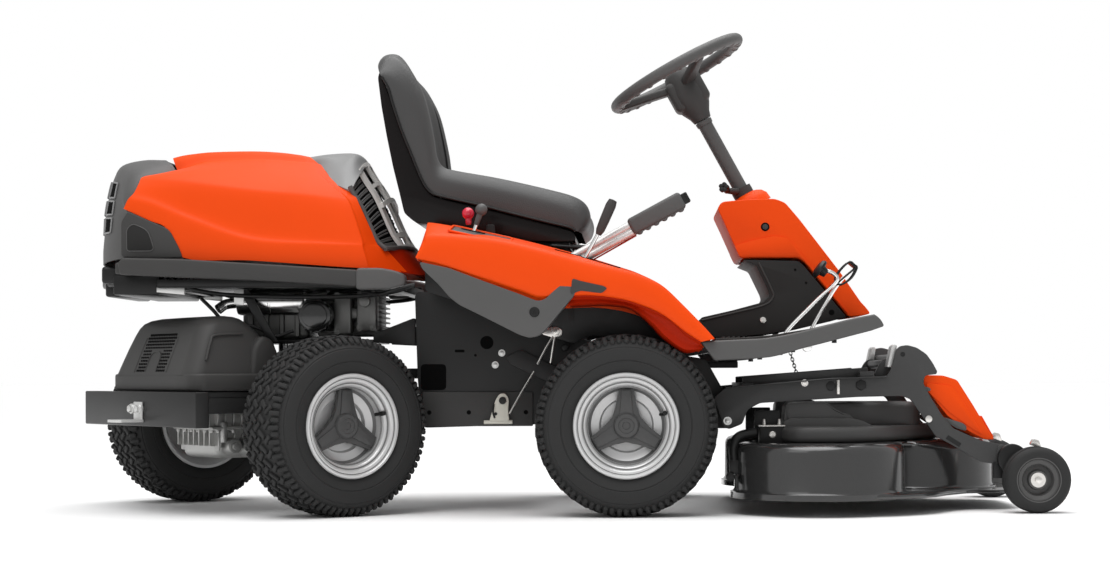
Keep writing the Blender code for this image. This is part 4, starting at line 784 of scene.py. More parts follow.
def engine_head():
    """The finned head with its valve covers."""
    head = Shape()
    head.block((-0.545, -0.07, 0.402), (-0.4, 0.07, 0.505), 0.006)
    for i in range(8):
        z = 0.41 + i * 0.0115
        head.block((-0.55, -0.084, z), (-0.392, 0.084, z + 0.004), 0.001, 1)
    head.block((-0.496, -0.14, 0.405), (-0.456, -0.08, 0.5), 0.007, 2)
    head.block((-0.444, -0.136, 0.412), (-0.398, -0.08, 0.506), 0.007, 2)
    head.block((-0.47, -0.128, 0.44), (-0.405, -0.09, 0.466), 0.006, 2)
    head.rod((-0.424, -0.132, 0.48), (-0.424, -0.152, 0.48), 0.013, 32, 0.002)
    for x, z in ((-0.488, 0.412), (-0.488, 0.494), (-0.436, 0.42), (-0.406, 0.42), (-0.406, 0.498)):
        head.bolt((x, -0.138, z), (0, -1, 0), 0.005, 0.004)
    head.show("engine_head", "engine", "chassis")


def oil_filter():
    """The filter with flutes round its end."""
    oil = Shape()
    oil.rod((-0.532, -0.192, 0.447), (-0.532, -0.09, 0.447), 0.0375, 48, 0.006)
    oil.rod((-0.532, -0.1985, 0.447), (-0.532, -0.19, 0.447), 0.029, 48, 0.003)
    for k in range(14):
        turn = k * math.tau / 14
        spot = Vector((-0.532 + 0.0365 * math.cos(turn), 0, 0.447 + 0.0365 * math.sin(turn)))
        oil.rod(spot + Vector((0, -0.188, 0)), spot + Vector((0, -0.165, 0)), 0.0026, 8)
    oil.show("oil_filter_looks", "filter", "chassis", "oil_filter")


def engine():
    """The engine, as far as it shows below the tray."""
    engine_block()
    engine_head()
    oil_filter()


def hood_rail():
    """Two side bars with their ends and cross bars."""
    rail = Shape()
    bar = [(-0.946, 0.536), (-0.951, 0.562), (-0.94, 0.573), (-0.808, 0.57), (-0.636, 0.559),
           (-0.418, 0.545), (-0.418, 0.507), (-0.636, 0.521), (-0.837, 0.53)]
    end = [(-0.421, 0.5), (-0.421, 0.549), (-0.365, 0.549), (-0.33, 0.542), (-0.31, 0.533), (-0.31, 0.512),
           (-0.345, 0.502)]
    for sign in SIDES.values():
        rail.plate(filleted(bar, 0.006), sign * 0.288, sign * 0.312, 0.005, 3)
    rail.block((-0.962, -0.29, 0.538), (-0.94, 0.29, 0.564), 0.005, 3)
    for x, z in ((-0.86, 0.538), (-0.4, 0.508)):
        rail.block((x, -0.3, z), (x + 0.03, 0.3, z + 0.008), 0.001)
    rail.show("hood_rail_looks", "charcoal", "chassis", "hood_rail")
    ends = Shape()
    for sign in SIDES.values():
        ends.plate(filleted(end, 0.01), sign * 0.28, sign * 0.315, 0.006, 3)
    ends.show("hood_rail_ends", "trim", "chassis")


def rail_and_engine():
    """The rail that carries the hood, and everything below it."""
    hood_rail()
    tray_and_muffler()
    engine()


# ------------------------------------------------------------------ seat
SEAT_HALF_WIDTH = 0.2265
SEAT_TOP = [(-0.394, 1.044), (-0.398, 1.064), (-0.384, 1.08), (-0.356, 1.079), (-0.327, 1.052),
            (-0.301, 1.002), (-0.281, 0.95), (-0.268, 0.9), (-0.258, 0.85), (-0.252, 0.81), (-0.238, 0.786),
            (-0.205, 0.776), (-0.11, 0.759), (0.0, 0.734), (0.06, 0.717), (0.088, 0.698), (0.098, 0.67),
            (0.092, 0.645), (0.078, 0.632)]
SEAT_UNDER = [(-0.384, 1.03), (-0.378, 1.016), (-0.364, 0.982), (-0.348, 0.925), (-0.33, 0.87),
              (-0.312, 0.825), (-0.302, 0.8), (-0.292, 0.775), (-0.282, 0.752), (-0.272, 0.735),
              (-0.257, 0.721), (-0.222, 0.711), (-0.154, 0.695), (-0.06, 0.671), (0.0, 0.656),
              (0.03, 0.649), (0.05, 0.644), (0.058, 0.64), (0.064, 0.636)]


def crowned(x, y, z):
    """The top of the seat's back curves down from its middle to its corners."""
    near_top = min(max((z - 0.93) / 0.14, 0), 1)
    drop = near_top * (0.016 + 0.046 * (abs(y) / SEAT_HALF_WIDTH) ** 2)
    return (x + 0.28 * drop, y, z - drop)


def seat_shell():
    """The hard shell behind and below the cushion, with three ribs up its back."""
    shell = Shape()
    back = [(-0.37, 1.003), (-0.379, 0.999), (-0.383, 0.986), (-0.375, 0.92), (-0.363, 0.851),
            (-0.349, 0.782), (-0.335, 0.725), (-0.324, 0.678), (-0.301, 0.658), (-0.2, 0.646),
            (-0.12, 0.616), (0.03, 0.612), (0.066, 0.614), (0.062, 0.634), (0.0, 0.652), (-0.15, 0.69),
            (-0.222, 0.706), (-0.258, 0.716), (-0.278, 0.738), (-0.305, 0.8), (-0.35, 0.925),
            (-0.376, 0.99)]
    shell.plate(filleted(back, 0.008), -0.214, 0.214, 0.012, 3)
    for y in (-0.15, 0.0, 0.15):
        shell.plate([(-0.3885, 0.985), (-0.378, 0.92), (-0.3655, 0.851), (-0.3515, 0.782), (-0.338, 0.728),
                     (-0.33, 0.73), (-0.345, 0.79), (-0.372, 0.92), (-0.386, 0.985)], y - 0.006, y + 0.006,
                    0.002)
    shell.show("seat_shell_looks", "shell", "seat", "seat_pan")


def seat_base():
    """The tilting base with its two rails."""
    base = Shape()
    base.block((-0.225, -0.175, 0.601), (0.05, 0.175, 0.607), 0.001)
    for sign in SIDES.values():
        base.block((-0.225, sign * 0.1675 - 0.0075, 0.603), (0.05, sign * 0.1675 + 0.0075, 0.614), 0.002)
    base.show("seat_base_looks", "paint", "seat_mount", "seat_base")


def seat_slide_lever():
    """The lever that frees the slide."""
    lever = Shape()
    lever.tube([(0.01, -0.178, 0.603), (0.01, -0.216, 0.603), (0.02, -0.223, 0.602),
                (0.062, -0.223, 0.599)], 0.004, 10, 6)
    lever.cone((0.058, -0.223, 0.5993), (0.1, -0.223, 0.5963), 0.006, 0.0068, 16, 0.002)
    lever.show("seat_lever_looks", "black", "seat_release", "seat_lever")


def seat_mounting():
    """What the seat stands on."""
    seat_base()
    seat_slide_lever()


def upholstery():
    """The vinyl cushion: sides, crowned edge and hollowed middle in one surface."""
    rows = []
    for share, inset in ((0.0, 0.002), (0.3, 0.0), (0.62, 0.004), (0.88, 0.02), (1.0, 0.042)):
        row = []
        for (ux, uz), (tx, tz) in zip(SEAT_UNDER, SEAT_TOP):
            row.append((ux + (tx - ux) * share, inset - SEAT_HALF_WIDTH, uz + (tz - uz) * share))
        rows.append(row)
    dish = [0.0, 0.0, 0.0, 0.002, 0.01, 0.018, 0.024, 0.028, 0.03, 0.03, 0.028, 0.024, 0.02, 0.018, 0.012,
            0.006, 0.002, 0.0, 0.0]
    for wide, deep in ((0.158, 0.4), (0.128, 0.95), (0.06, 1.0), (0.0, 1.0)):
        row = []
        for i, (x, z) in enumerate(SEAT_TOP):
            inward = Vector((-0.97, -0.25)) if i < 11 else Vector((-0.1, -0.99))
            shift = inward * dish[i] * deep
            row.append((x + shift.x, -wide, z + shift.y))
        rows.append(row)
    rows = [[crowned(*point) for point in row] for row in rows]
    cushion = Shape()
    cushion.sheet(grid(mirror_rows(rows), 5, 5), 0.0)
    cushion.show("seat_upholstery", "vinyl", "seat", "seat_cushion", smooth=80)


def seat_piping():
    """Piping round the edge and a seam down each side of the middle."""
    piping = Shape()
    for sign in SIDES.values():
        edge = [crowned(x, sign * (SEAT_HALF_WIDTH - 0.0005), z) for x, z in SEAT_UNDER]
        piping.tube(edge, 0.0028, 10, 4)
        seam = [crowned(x - 0.006 * (i < 8), sign * 0.166, z - 0.004)
                for i, (x, z) in enumerate(SEAT_TOP[3:16])]
        piping.tube(seam, 0.0022, 10, 4)
    piping.show("seat_piping", "black", "seat")


def seat():
    """The moulded seat."""
    upholstery()
    seat_piping()
    seat_shell()
    seat_mounting()


# ------------------------------------------------------------------ fenders
FENDER_TOP = [(-0.285, 0.566), (-0.264, 0.638), (-0.25, 0.649), (-0.146, 0.629), (-0.08, 0.614),
              (0.01, 0.591), (0.087, 0.571), (0.165, 0.547), (0.203, 0.534), (0.255, 0.508), (0.299, 0.47),
              (0.344, 0.424), (0.374, 0.392)]
FENDER_CREASE = [(-0.276, 0.566), (-0.258, 0.602), (-0.243, 0.616), (-0.146, 0.609), (-0.08, 0.6),
                 (0.01, 0.578), (0.087, 0.557), (0.166, 0.539), (0.203, 0.529), (0.255, 0.505),
                 (0.299, 0.465), (0.344, 0.419), (0.372, 0.388)]
FENDER_HEM = [(-0.271, 0.562), (-0.25, 0.556), (-0.223, 0.549), (-0.136, 0.52), (-0.05, 0.492),
              (-0.009, 0.478), (0.04, 0.48), (0.1, 0.482), (0.15, 0.477), (0.198, 0.466), (0.257, 0.441),
              (0.307, 0.403), (0.342, 0.38)]


def fender_controls():
    """The control panel let into the right fender, and the levers' slots, drawn as dark blocks of painted
    shade.
    """
    fore = math.atan2(0.6 - 0.609, 0.066)
    across = math.atan2(0.632 - 0.6075, 0.12)
    lean = Matrix.Translation((-0.12, -0.3, 0.6262)) @ Matrix.Rotation(-fore * 1.6, 4, "Y")
    lean = lean @ Matrix.Rotation(across, 4, "X")
    panel = Shape()
    panel.block((-0.08, -0.1, -0.004), (0.046, -0.025, 0.0012), 0.0015, 2, lean)
    panel.show("control_panel", "trim", "chassis")
    slots = Shape()
    slots.block((-0.07, -0.014, 0.0), (-0.03, 0.004, 0.0024), 0.0005, 1, lean)
    slots.block((-0.064, -0.046, 0.0), (-0.01, -0.034, 0.0022), 0.0005, 1, lean)
    for x0, x1, y0, y1, z in ((0.02, 0.12, -0.284, -0.242, 0.5895), (0.08, 0.17, -0.322, -0.296, 0.57)):
        tilt = Matrix.Translation((x0, 0, z)) @ Matrix.Rotation(math.radians(15.5), 4, "Y")
        slots.block((0, y0, -0.002), (x1 - x0, y1, 0.0022), 0.0006, 1, tilt)
    slots.show("lever_slots", "painted_shade", "chassis")
    rims = Shape()
    corners = [(-0.084, -0.104), (0.05, -0.104), (0.05, -0.021), (-0.084, -0.021)]
    loop = [lean @ Vector((x, y, 0.001)) for x, y in filleted(corners, 0.01)]
    rims.tube([*loop, loop[0]], 0.003, 10, 1)
    rims.show("control_panel_rim", "orange", "chassis")


def fender_skin(side, sign):
    """The orange skin, from its hem over a crease to its top."""
    rows = []
    for share, wide in ((0.0, 0.426), (0.1, 0.4325), (0.55, 0.4345), (0.9, 0.43), (1.0, 0.423)):
        rows.append([(hx + (cx - hx) * share, sign * wide, hz + (cz - hz) * share)
                     for (hx, hz), (cx, cz) in zip(FENDER_HEM, FENDER_CREASE)])
    for share, wide in ((0.1, 0.414), (0.55, 0.36), (1.0, 0.3), (1.0, 0.262), (0.96, 0.247), (0.8, 0.24)):
        rows.append([(cx + (tx - cx) * share, sign * wide, cz + (tz - cz) * share)
                     for (cx, cz), (tx, tz) in zip(FENDER_CREASE, FENDER_TOP)])
    rows.append([(x, sign * 0.237, z - 0.02) for x, z in FENDER_HEM])
    skin = Shape()
    skin.sheet(grid(rows, 6, 4), 0.0035)
    skin.show(f"fender_{side}_looks", "orange", "chassis", f"fender_{side}", smooth=60)


def fender_arch(side, sign):
    """The underside round the wheel, in the darker orange of painted shade."""
    arch = Shape()
    inner = [(0.056, 0.464), (0.11, 0.467), (0.149, 0.466), (0.193, 0.457), (0.235, 0.422), (0.264, 0.39),
             (0.305, 0.362), (0.345, 0.366)]
    hem = [(0.05, 0.481), (0.1, 0.482), (0.15, 0.477), (0.198, 0.466), (0.257, 0.441), (0.285, 0.424),
           (0.312, 0.399), (0.342, 0.381)]
    rows = []
    for share, wide in ((0.0, 0.427), (0.06, 0.418), (0.5, 0.41), (1.0, 0.406), (1.0, 0.32), (1.0, 0.25)):
        rows.append([(hx + (ax - hx) * share, sign * wide, hz + (az - hz) * share)
                     for (hx, hz), (ax, az) in zip(hem, inner)])
    arch.sheet(grid(rows, 6, 3), 0.003)
    arch.show(f"fender_{side}_arch", "shade", "chassis", smooth=60)


def side_panel(side, sign):
    """The grey panel below the fender, with its latch and screw. The latch is drawn darker than the panel
    as painted shade of the recess it sits in.
    """
    trim = Shape()
    outline = [(-0.268, 0.556), (-0.203, 0.542), (-0.136, 0.5165), (-0.05, 0.485), (-0.012, 0.47),
               (0.004, 0.473), (0.052, 0.519), (0.072, 0.516), (0.07, 0.484), (0.036, 0.444), (0.01, 0.412),
               (-0.007, 0.395), (-0.029, 0.39), (-0.051, 0.397), (-0.138, 0.441), (-0.181, 0.462),
               (-0.203, 0.48), (-0.225, 0.506), (-0.26, 0.539)]
    trim.plate(filleted(outline, 0.008), sign * 0.398, sign * 0.434, 0.005, 3)
    trim.show(f"side_panel_{side}_looks", "trim", "chassis", f"side_panel_{side}")
    # painted shade: the latch is a darker grey for the recess it sits in
    latch = Shape()
    latch.plate(filleted([(0.064, 0.519), (0.082, 0.513), (0.132, 0.502), (0.14, 0.497), (0.128, 0.486),
                          (0.082, 0.492), (0.06, 0.484)], 0.006), sign * 0.42, sign * 0.4365, 0.002)
    latch.show(f"side_panel_{side}_latch", "charcoal", "chassis")
    screw = Shape()
    outward = Matrix.Rotation(-sign * math.pi / 2, 4, "X")
    screw.lathe([(0.0, 0.0005), (0.0045, 0.0005), (0.0045, 0.002), (0.0095, 0.002), (0.011, 0.0),
                 (0.011, -0.004), (0.0, -0.004)], 40,
                Matrix.Translation((-0.018, sign * 0.4345, 0.446)) @ outward)
    screw.show(f"side_panel_{side}_screw", "black", "chassis")


def fender(side, sign):
    """One fender with its arch, its side panel and, on the right, the control panel."""
    fender_skin(side, sign)
    fender_arch(side, sign)
    side_panel(side, sign)
    if side == "right":
        fender_controls()


# ------------------------------------------------------------------ hand controls
LIFT_PIVOT = Vector((-0.01, -0.263, 0.5285))
LIFT_ANGLE = math.radians(28.4)


def choke_and_throttle():
    """The red choke knob and the grey throttle knob on their stems."""
    choke = Shape()
    choke.ball((-0.172, -0.3, 0.67), 0.0135)
    choke.cone((-0.1715, -0.3, 0.664), (-0.171, -0.3, 0.645), 0.0075, 0.006, 20, 0.001)
    choke.show("choke_knob", "red", "choke", "choke_lever")
    throttle = Shape()
    throttle.ball((-0.14, -0.33, 0.676), 0.0135)
    throttle.cone((-0.142, -0.33, 0.67), (-0.152, -0.33, 0.642), 0.007, 0.0055, 20, 0.001)
    throttle.show("throttle_knob", "trim", "throttle", "throttle_lever")
    for name, body, low, high in (("choke_stem", "choke", (-0.171, -0.3, 0.58), (-0.171, -0.3, 0.637)),
                                  ("throttle_stem", "throttle", (-0.17, -0.33, 0.59),
                                   (-0.151, -0.33, 0.645))):
        stem = Shape()
        stem.rod(low, high, 0.0042, 16)
        stem.show(name, "chrome", body)


def ignition_key():
    """The key's round head in the control panel."""
    key = Shape()
    key.rod((-0.122, -0.3, 0.604), (-0.122, -0.3, 0.624), 0.0115, 32, 0.002)
    key.plate(filleted([(-0.133, 0.622), (-0.131, 0.645), (-0.113, 0.645), (-0.111, 0.622)], 0.005),
              -0.3028, -0.2972, 0.0015)
    key.show("ignition_key_looks", "black", "ignition", "ignition_key")


def lift_lever():
    """The deck's lift lever: two bright tubes, a thin dark orange line under them as a painted reflection,
    a grip with finger ridges and the button at its end.
    """
    turn = Matrix.Translation(LIFT_PIVOT) @ Matrix.Rotation(-LIFT_ANGLE, 4, "Y")
    tube = Shape()
    for level in (-0.008, 0.008):
        tube.rod((0, 0, level), (0.24, 0, level), 0.0092, 28, matrix=turn)
    tube.block((0.0, -0.006, -0.009), (0.24, 0.006, 0.009), 0.001, 1, turn)
    tube.rod(LIFT_PIVOT - Vector((0, 0.014, 0)), LIFT_PIVOT + Vector((0, 0.014, 0)), 0.018, 32, 0.002)
    tube.show("lift_lever_tube", "brushed", "lift_handle", "lift_lever")
    grip = Shape()
    grip.block((0.228, -0.0165, -0.017), (0.362, 0.0165, 0.0225), 0.008, 3, turn)
    for k in range(6):
        grip.rod((0.243 + k * 0.021, -0.0125, -0.0125), (0.243 + k * 0.021, 0.0125, -0.0125), 0.0085, 20,
                 0.002, turn)
    grip.show("lift_lever_grip", "trim", "lift_handle")
    # painted reflection: a thin dark orange line along the tubes' underside stands in for the orange
    # reflected in them
    red_reflection = Shape()
    red_reflection.tube([turn @ Vector(p) for p in ((0.06, 0, -0.0205), (0.14, 0, -0.02), (0.232, 0, -0.0185))],
               0.0018, 8, 4)
    red_reflection.show("lift_lever_red_reflection", "shade", "lift_handle")
    button = Shape()
    button.block((0.358, -0.011, -0.01), (0.376, 0.011, 0.0145), 0.003, 2, turn)
    for k in range(4):
        button.block((0.369, -0.012, -0.0085 + k * 0.006), (0.376, 0.012, -0.006 + k * 0.006), 0.0005, 1,
                     turn)
    button.show("lift_button_looks", "black", "lift_latch", "lift_button")


def height_lever():
    """The cutting height's thin lever and its grip."""
    low = Vector((0.075, -0.307, 0.545))
    height = Shape()
    height.rod(low, (0.122, -0.307, 0.632), 0.0042, 16)
    height.show("height_lever_rod", "chrome", "height_handle", "height_lever")
    grip = Shape()
    up = (Vector((0.152, 0, 0.7)) - Vector((0.12, 0, 0.626))).normalized()
    tilt = Matrix.Translation((0.12, -0.307, 0.626)) @ up.to_track_quat("Z", "Y").to_matrix().to_4x4()
    grip.lathe([(0.0, -0.006), (0.0062, -0.005), (0.0098, 0.006), (0.0112, 0.03), (0.0118, 0.066),
                (0.0092, 0.0785), (0.0, 0.08)], 32, tilt)
    grip.show("height_lever_grip", "charcoal", "height_handle")


def hand_controls():
    """The levers, the knobs and the key on and beside the right fender."""
    choke_and_throttle()
    ignition_key()
    lift_lever()
    height_lever()


# ------------------------------------------------------------------ steering
WHEEL_CENTRE = Vector((0.2995, 0, 1.0235))
COLUMN_UP = Vector((-math.sin(math.radians(28.8)), 0, math.cos(math.radians(28.8))))
COLUMN_TURN = COLUMN_UP.to_track_quat("Z", "Y").to_matrix().to_4x4()
WHEEL_PLACE = Matrix.Translation(WHEEL_CENTRE) @ COLUMN_TURN


def column_clamp():
    """The ring that grips the column where it leaves the console, and its knob on a short stem."""
    at = Vector((WHEEL_CENTRE.x, 0, WHEEL_CENTRE.z)) - COLUMN_UP * 0.3215
    ring = Shape()
    lean = Matrix.Translation(at) @ COLUMN_TURN
    ring.lathe([(0.018, -0.012), (0.0245, -0.012), (0.025, 0.0), (0.0245, 0.01), (0.018, 0.01)], 40, lean)
    ring.cone(at + Vector((-0.01, -0.016, 0.0)), (0.4185, -0.04, 0.7415), 0.0085, 0.007, 20, 0.001)
    ring.show("column_clamp_ring", "charcoal", "chassis")
    knob_from = Vector((0.416, -0.042, 0.742))
    out = Vector((-0.01, -0.03, 0.006)).normalized()
    knob = Shape()
    knob.rod(knob_from, knob_from + out * 0.03, 0.008, 20, 0.001)
    side = out.orthogonal().normalized()
    other = out.cross(side)
    for k in range(5):
        angle = k * math.tau / 5
        spot = knob_from + out * 0.026 + (side * math.cos(angle) + other * math.sin(angle)) * 0.007
        knob.rod(spot - out * 0.006, spot + out * 0.006, 0.0055, 16, 0.0015)
    knob.show("column_knob_looks", "black", "column_clamp", "column_knob")


def steering_rim():
    """The rim, with finger bumps on its underside."""
    ring = Shape()
    section = [(0.1615 + 0.015 * math.cos(a * math.tau / 20), 0.014 * math.sin(a * math.tau / 20))
               for a in range(20)]
    ring.lathe(section, 96, WHEEL_PLACE)
    for k in range(24):
        spot = Matrix.Rotation(math.radians(15 * k), 4, "Z") @ Vector((0.16, 0, -0.005))
        ring.ball(WHEEL_PLACE @ spot, 0.0112)
    ring.show("steering_rim", "trim", "steering_wheel", "steering_wheel")


def steering_hub():
    """The hub and three arms."""
    hub = Shape()
    hub.lathe([(0.0, 0.006), (0.026, 0.005), (0.034, -0.002), (0.04, -0.02), (0.044, -0.05),
               (0.044, -0.072), (0.036, -0.094), (0.026, -0.112), (0.0215, -0.1265),
               (0.0, -0.1265)], 48, WHEEL_PLACE)
    hub.block((-0.036, -0.045, -0.09), (0.034, 0.045, -0.014), 0.014, 4, WHEEL_PLACE)
    for degrees in (20, 160, 270):
        droop = Matrix.Rotation(math.radians(11), 4, "Y").inverted()
        arm = WHEEL_PLACE @ Matrix.Rotation(math.radians(degrees), 4, "Z") @ droop
        wide = 0.022 if degrees == 270 else 0.017
        outline = [(0.01, -wide), (0.07, -wide * 0.95), (0.152, -wide * 0.62), (0.152, wide * 0.62),
                   (0.07, wide * 0.95), (0.01, wide)]
        hub.prism(outline, -0.0445, -0.026, 0.006, 3, arm)
    hub.show("steering_hub", "charcoal", "steering_wheel", smooth=60)


def steering_cap():
    """The dark disc in the hub's middle."""
    cap = Shape()
    cap.lathe([(0.0, 0.0115), (0.018, 0.011), (0.024, 0.0085), (0.025, 0.005), (0.0, 0.005)], 48,
              WHEEL_PLACE)
    cap.show("steering_cap", "black", "steering_wheel")


def steering_shaft():
    """The column between the hub and the console."""
    shaft = Shape()
    shaft.rod(WHEEL_CENTRE - COLUMN_UP * 0.455, WHEEL_CENTRE - COLUMN_UP * 0.129, 0.0172, 40)
    shaft.cone(WHEEL_CENTRE - COLUMN_UP * 0.14, WHEEL_CENTRE - COLUMN_UP * 0.129, 0.0195, 0.0205, 40, 0.001)
    shaft.show("steering_column_looks", "trim", "steering_column", "steering_shaft")


def steering():
    """The steering wheel on its telescopic column."""
    steering_rim()
    steering_hub()
    steering_cap()
    steering_shaft()
    column_clamp()


# ------------------------------------------------------------------ console and floor
def console_cover():
    """The cover with its collar for the column and a raised ledge on each side."""
    outline = [(0.441, 0.577), (0.406, 0.656), (0.389, 0.692), (0.399, 0.707), (0.452, 0.712),
               (0.521, 0.714), (0.545, 0.705), (0.579, 0.665), (0.625, 0.605), (0.671, 0.545),
               (0.706, 0.494), (0.719, 0.475), (0.728, 0.466), (0.742, 0.448), (0.69, 0.441),
               (0.588, 0.568), (0.575, 0.577)]
    cover = Shape()
    cover.plate(filleted(outline, 0.008), -0.148, 0.148, 0.028, 5)
    tilt = Matrix.Translation((0.466, 0, 0.7215)) @ COLUMN_TURN
    cover.lathe([(0.0185, -0.02), (0.052, -0.02), (0.05, -0.004), (0.042, 0.007), (0.032, 0.0125),
                 (0.024, 0.015), (0.0185, 0.015)], 48, tilt)
    ledge = [(0.44, 0.58), (0.428, 0.606), (0.47, 0.618), (0.52, 0.628), (0.548, 0.624), (0.566, 0.606),
             (0.606, 0.556), (0.69, 0.447), (0.588, 0.571), (0.576, 0.58)]
    for sign in SIDES.values():
        cover.plate(filleted(ledge, 0.006), sign * 0.14, sign * 0.1515, 0.003, 2)
    cover.show("console_cover_looks", "orange", "chassis", "console_cover", smooth=50)


def console_plugs():
    """A plug in a well of painted shade on each side of the cover."""
    plug = Shape()
    for sign in SIDES.values():
        plug.rod((0.499, sign * 0.14, 0.649), (0.499, sign * 0.149, 0.649), 0.01, 32, 0.001)
    plug.show("console_plug_wells", "painted_shade", "chassis")
    plug = Shape()
    for sign in SIDES.values():
        plug.rod((0.499, sign * 0.146, 0.649), (0.499, sign * 0.1505, 0.649), 0.0066, 32, 0.001)
    plug.show("console_plugs", "charcoal", "chassis")


def console_base():
    """The dark base and the ridge that follows its rear edge."""
    tower = [(0.446, 0.572), (0.572, 0.569), (0.583, 0.561), (0.62, 0.517), (0.683, 0.44), (0.64, 0.43),
             (0.585, 0.417), (0.5, 0.402), (0.43, 0.396), (0.352, 0.394), (0.349, 0.44), (0.42, 0.456),
             (0.496, 0.476), (0.507, 0.49), (0.504, 0.502), (0.476, 0.56)]
    base = Shape()
    base.plate(filleted(tower, 0.006), -0.1715, 0.1715, 0.01, 3)
    base.show("console_base_looks", "tower", "chassis", "console_base")
    ridges = Shape()
    for sign in SIDES.values():
        y = sign * 0.1722
        ridges.tube([(0.352, y, 0.434), (0.43, y, 0.452), (0.496, y, 0.469), (0.5155, y, 0.488),
                     (0.512, y, 0.504), (0.495, y, 0.54), (0.482, y, 0.566)], 0.002, 8, 4)
    ridges.show("console_base_ridges", "charcoal", "chassis")


def console_fixings():
    """Bolts, and small holes drawn as discs of painted shade, on both sides of the base."""
    bits = Shape()
    dots = Shape()
    for sign in SIDES.values():
        bits.cone((0.492, sign * 0.17, 0.434), (0.492, sign * 0.1755, 0.434), 0.008, 0.007, 28, 0.0015)
        for x, z, r in ((0.566, 0.549, 0.0028), (0.591, 0.519, 0.0028), (0.649, 0.451, 0.0065)):
            dots.rod((x, sign * 0.168, z), (x, sign * 0.1722, z), r, 20)
    bits.show("console_bolts", "zinc", "chassis")
    dots.show("console_holes", "painted_shade", "chassis")


def console():
    """The tower in front of the driver's feet: an orange cover over a dark base."""
    console_cover()
    console_plugs()
    console_base()
    console_fixings()


def footplate():
    """The floor's panels, with ribs across the rear."""
    top = [(0.376, 0.3895), (0.43, 0.39), (0.5, 0.396), (0.585, 0.41), (0.66, 0.428), (0.712, 0.438)]
    under = [(x, z - 0.006) for x, z in reversed(top)]
    floor = Shape()
    for low, high in ((-0.379, -0.325), (-0.2, 0.2), (0.325, 0.379)):
        floor.plate(top + under, low, high, 0.001)
    for sign in SIDES.values():
        for part in (top[:2] + [(0.505, 0.3965), (0.505, 0.3905)] + under[-2:],
                     [(0.678, 0.4315), (0.712, 0.438), (0.712, 0.432), (0.678, 0.4255)]):
            floor.plate(part, sign * 0.2, sign * 0.325, 0.001)
    for k in range(11):
        x = 0.392 + k * 0.011
        for sign in SIDES.values():
            floor.block((x, sign * 0.195, 0.39), (x + 0.005, sign * 0.372, 0.3925), 0.001, 1)
    floor.show("footplate_looks", "charcoal", "chassis", "footplate")


def bumper_trim():
    """The band along both edges of the floor and across its front."""
    upper = [(0.341, 0.382), (0.429, 0.386), (0.484, 0.389), (0.538, 0.398), (0.593, 0.411), (0.659, 0.428),
             (0.712, 0.4385), (0.722, 0.4385), (0.734, 0.428), (0.742, 0.414)]
    lower = [(0.713, 0.404), (0.67, 0.393), (0.604, 0.376), (0.56, 0.365), (0.516, 0.352), (0.473, 0.345),
             (0.372, 0.34)]
    fair = refine([(x, 0, z) for x, z in upper], 3)
    below = refine([(x, 0, z) for x, z in lower], 3)
    outline = [(p.x, p.z) for p in fair + below]
    band = Shape()
    for sign in SIDES.values():
        band.plate(outline, sign * 0.38, sign * 0.412, 0.005, 3)
    band.plate([(0.69, 0.434), (0.712, 0.4385), (0.722, 0.4385), (0.734, 0.428), (0.742, 0.414),
                (0.713, 0.404), (0.7, 0.401)], -0.385, 0.385, 0.003, 3)
    band.show("bumper_trim_looks", "trim", "chassis", "bumper_trim")


def floor_underside():
    """The plate and the studs below the floor."""
    beams = Shape()
    beams.plate([(0.35, 0.372), (0.48, 0.385), (0.56, 0.398), (0.56, 0.391), (0.48, 0.377), (0.3, 0.35),
                 (0.3, 0.36)], -0.2, 0.2, 0.001)
    for x in (0.455, 0.475, 0.52, 0.548, 0.64):
        beams.rod((x, -0.33, 0.352 + (x - 0.455) * 0.19), (x, -0.33, 0.338 + (x - 0.455) * 0.22), 0.006, 6)
    beams.show("floor_underside", "paint", "chassis")


def floor_and_trim():
    """The footplate, the band round it and the beams below."""
    footplate()
    bumper_trim()
    floor_underside()


# ------------------------------------------------------------------ pedals
PEDAL_TURN = Vector((-0.8, 0, 0.6)).normalized().to_track_quat("Z", "Y").to_matrix().to_4x4()


def forward_pedal():
    """The bent rod with a round pad."""
    forward = Shape()
    forward.tube([(0.536, -0.262, 0.368), (0.536, -0.262, 0.4), (0.6, -0.262, 0.468),
                  (0.651, -0.262, 0.517), (0.646, -0.262, 0.535), (0.624, -0.262, 0.544)], 0.0045, 12, 6)
    forward.rod((0.536, -0.278, 0.368), (0.536, -0.246, 0.368), 0.011, 24, 0.001)
    forward.show("forward_pedal_rod", "chrome", "forward_pedal", "forward_pedal")
    pad = Shape()
    tilt = Matrix.Translation((0.613, -0.262, 0.547)) @ PEDAL_TURN
    pad.lathe([(0.0, 0.0065), (0.01, 0.0075), (0.019, 0.0045), (0.0225, -0.001), (0.0215, -0.006),
               (0.012, -0.009), (0.009, -0.02), (0.0, -0.02)], 40, tilt)
    pad.show("forward_pedal_pad", "black", "forward_pedal")


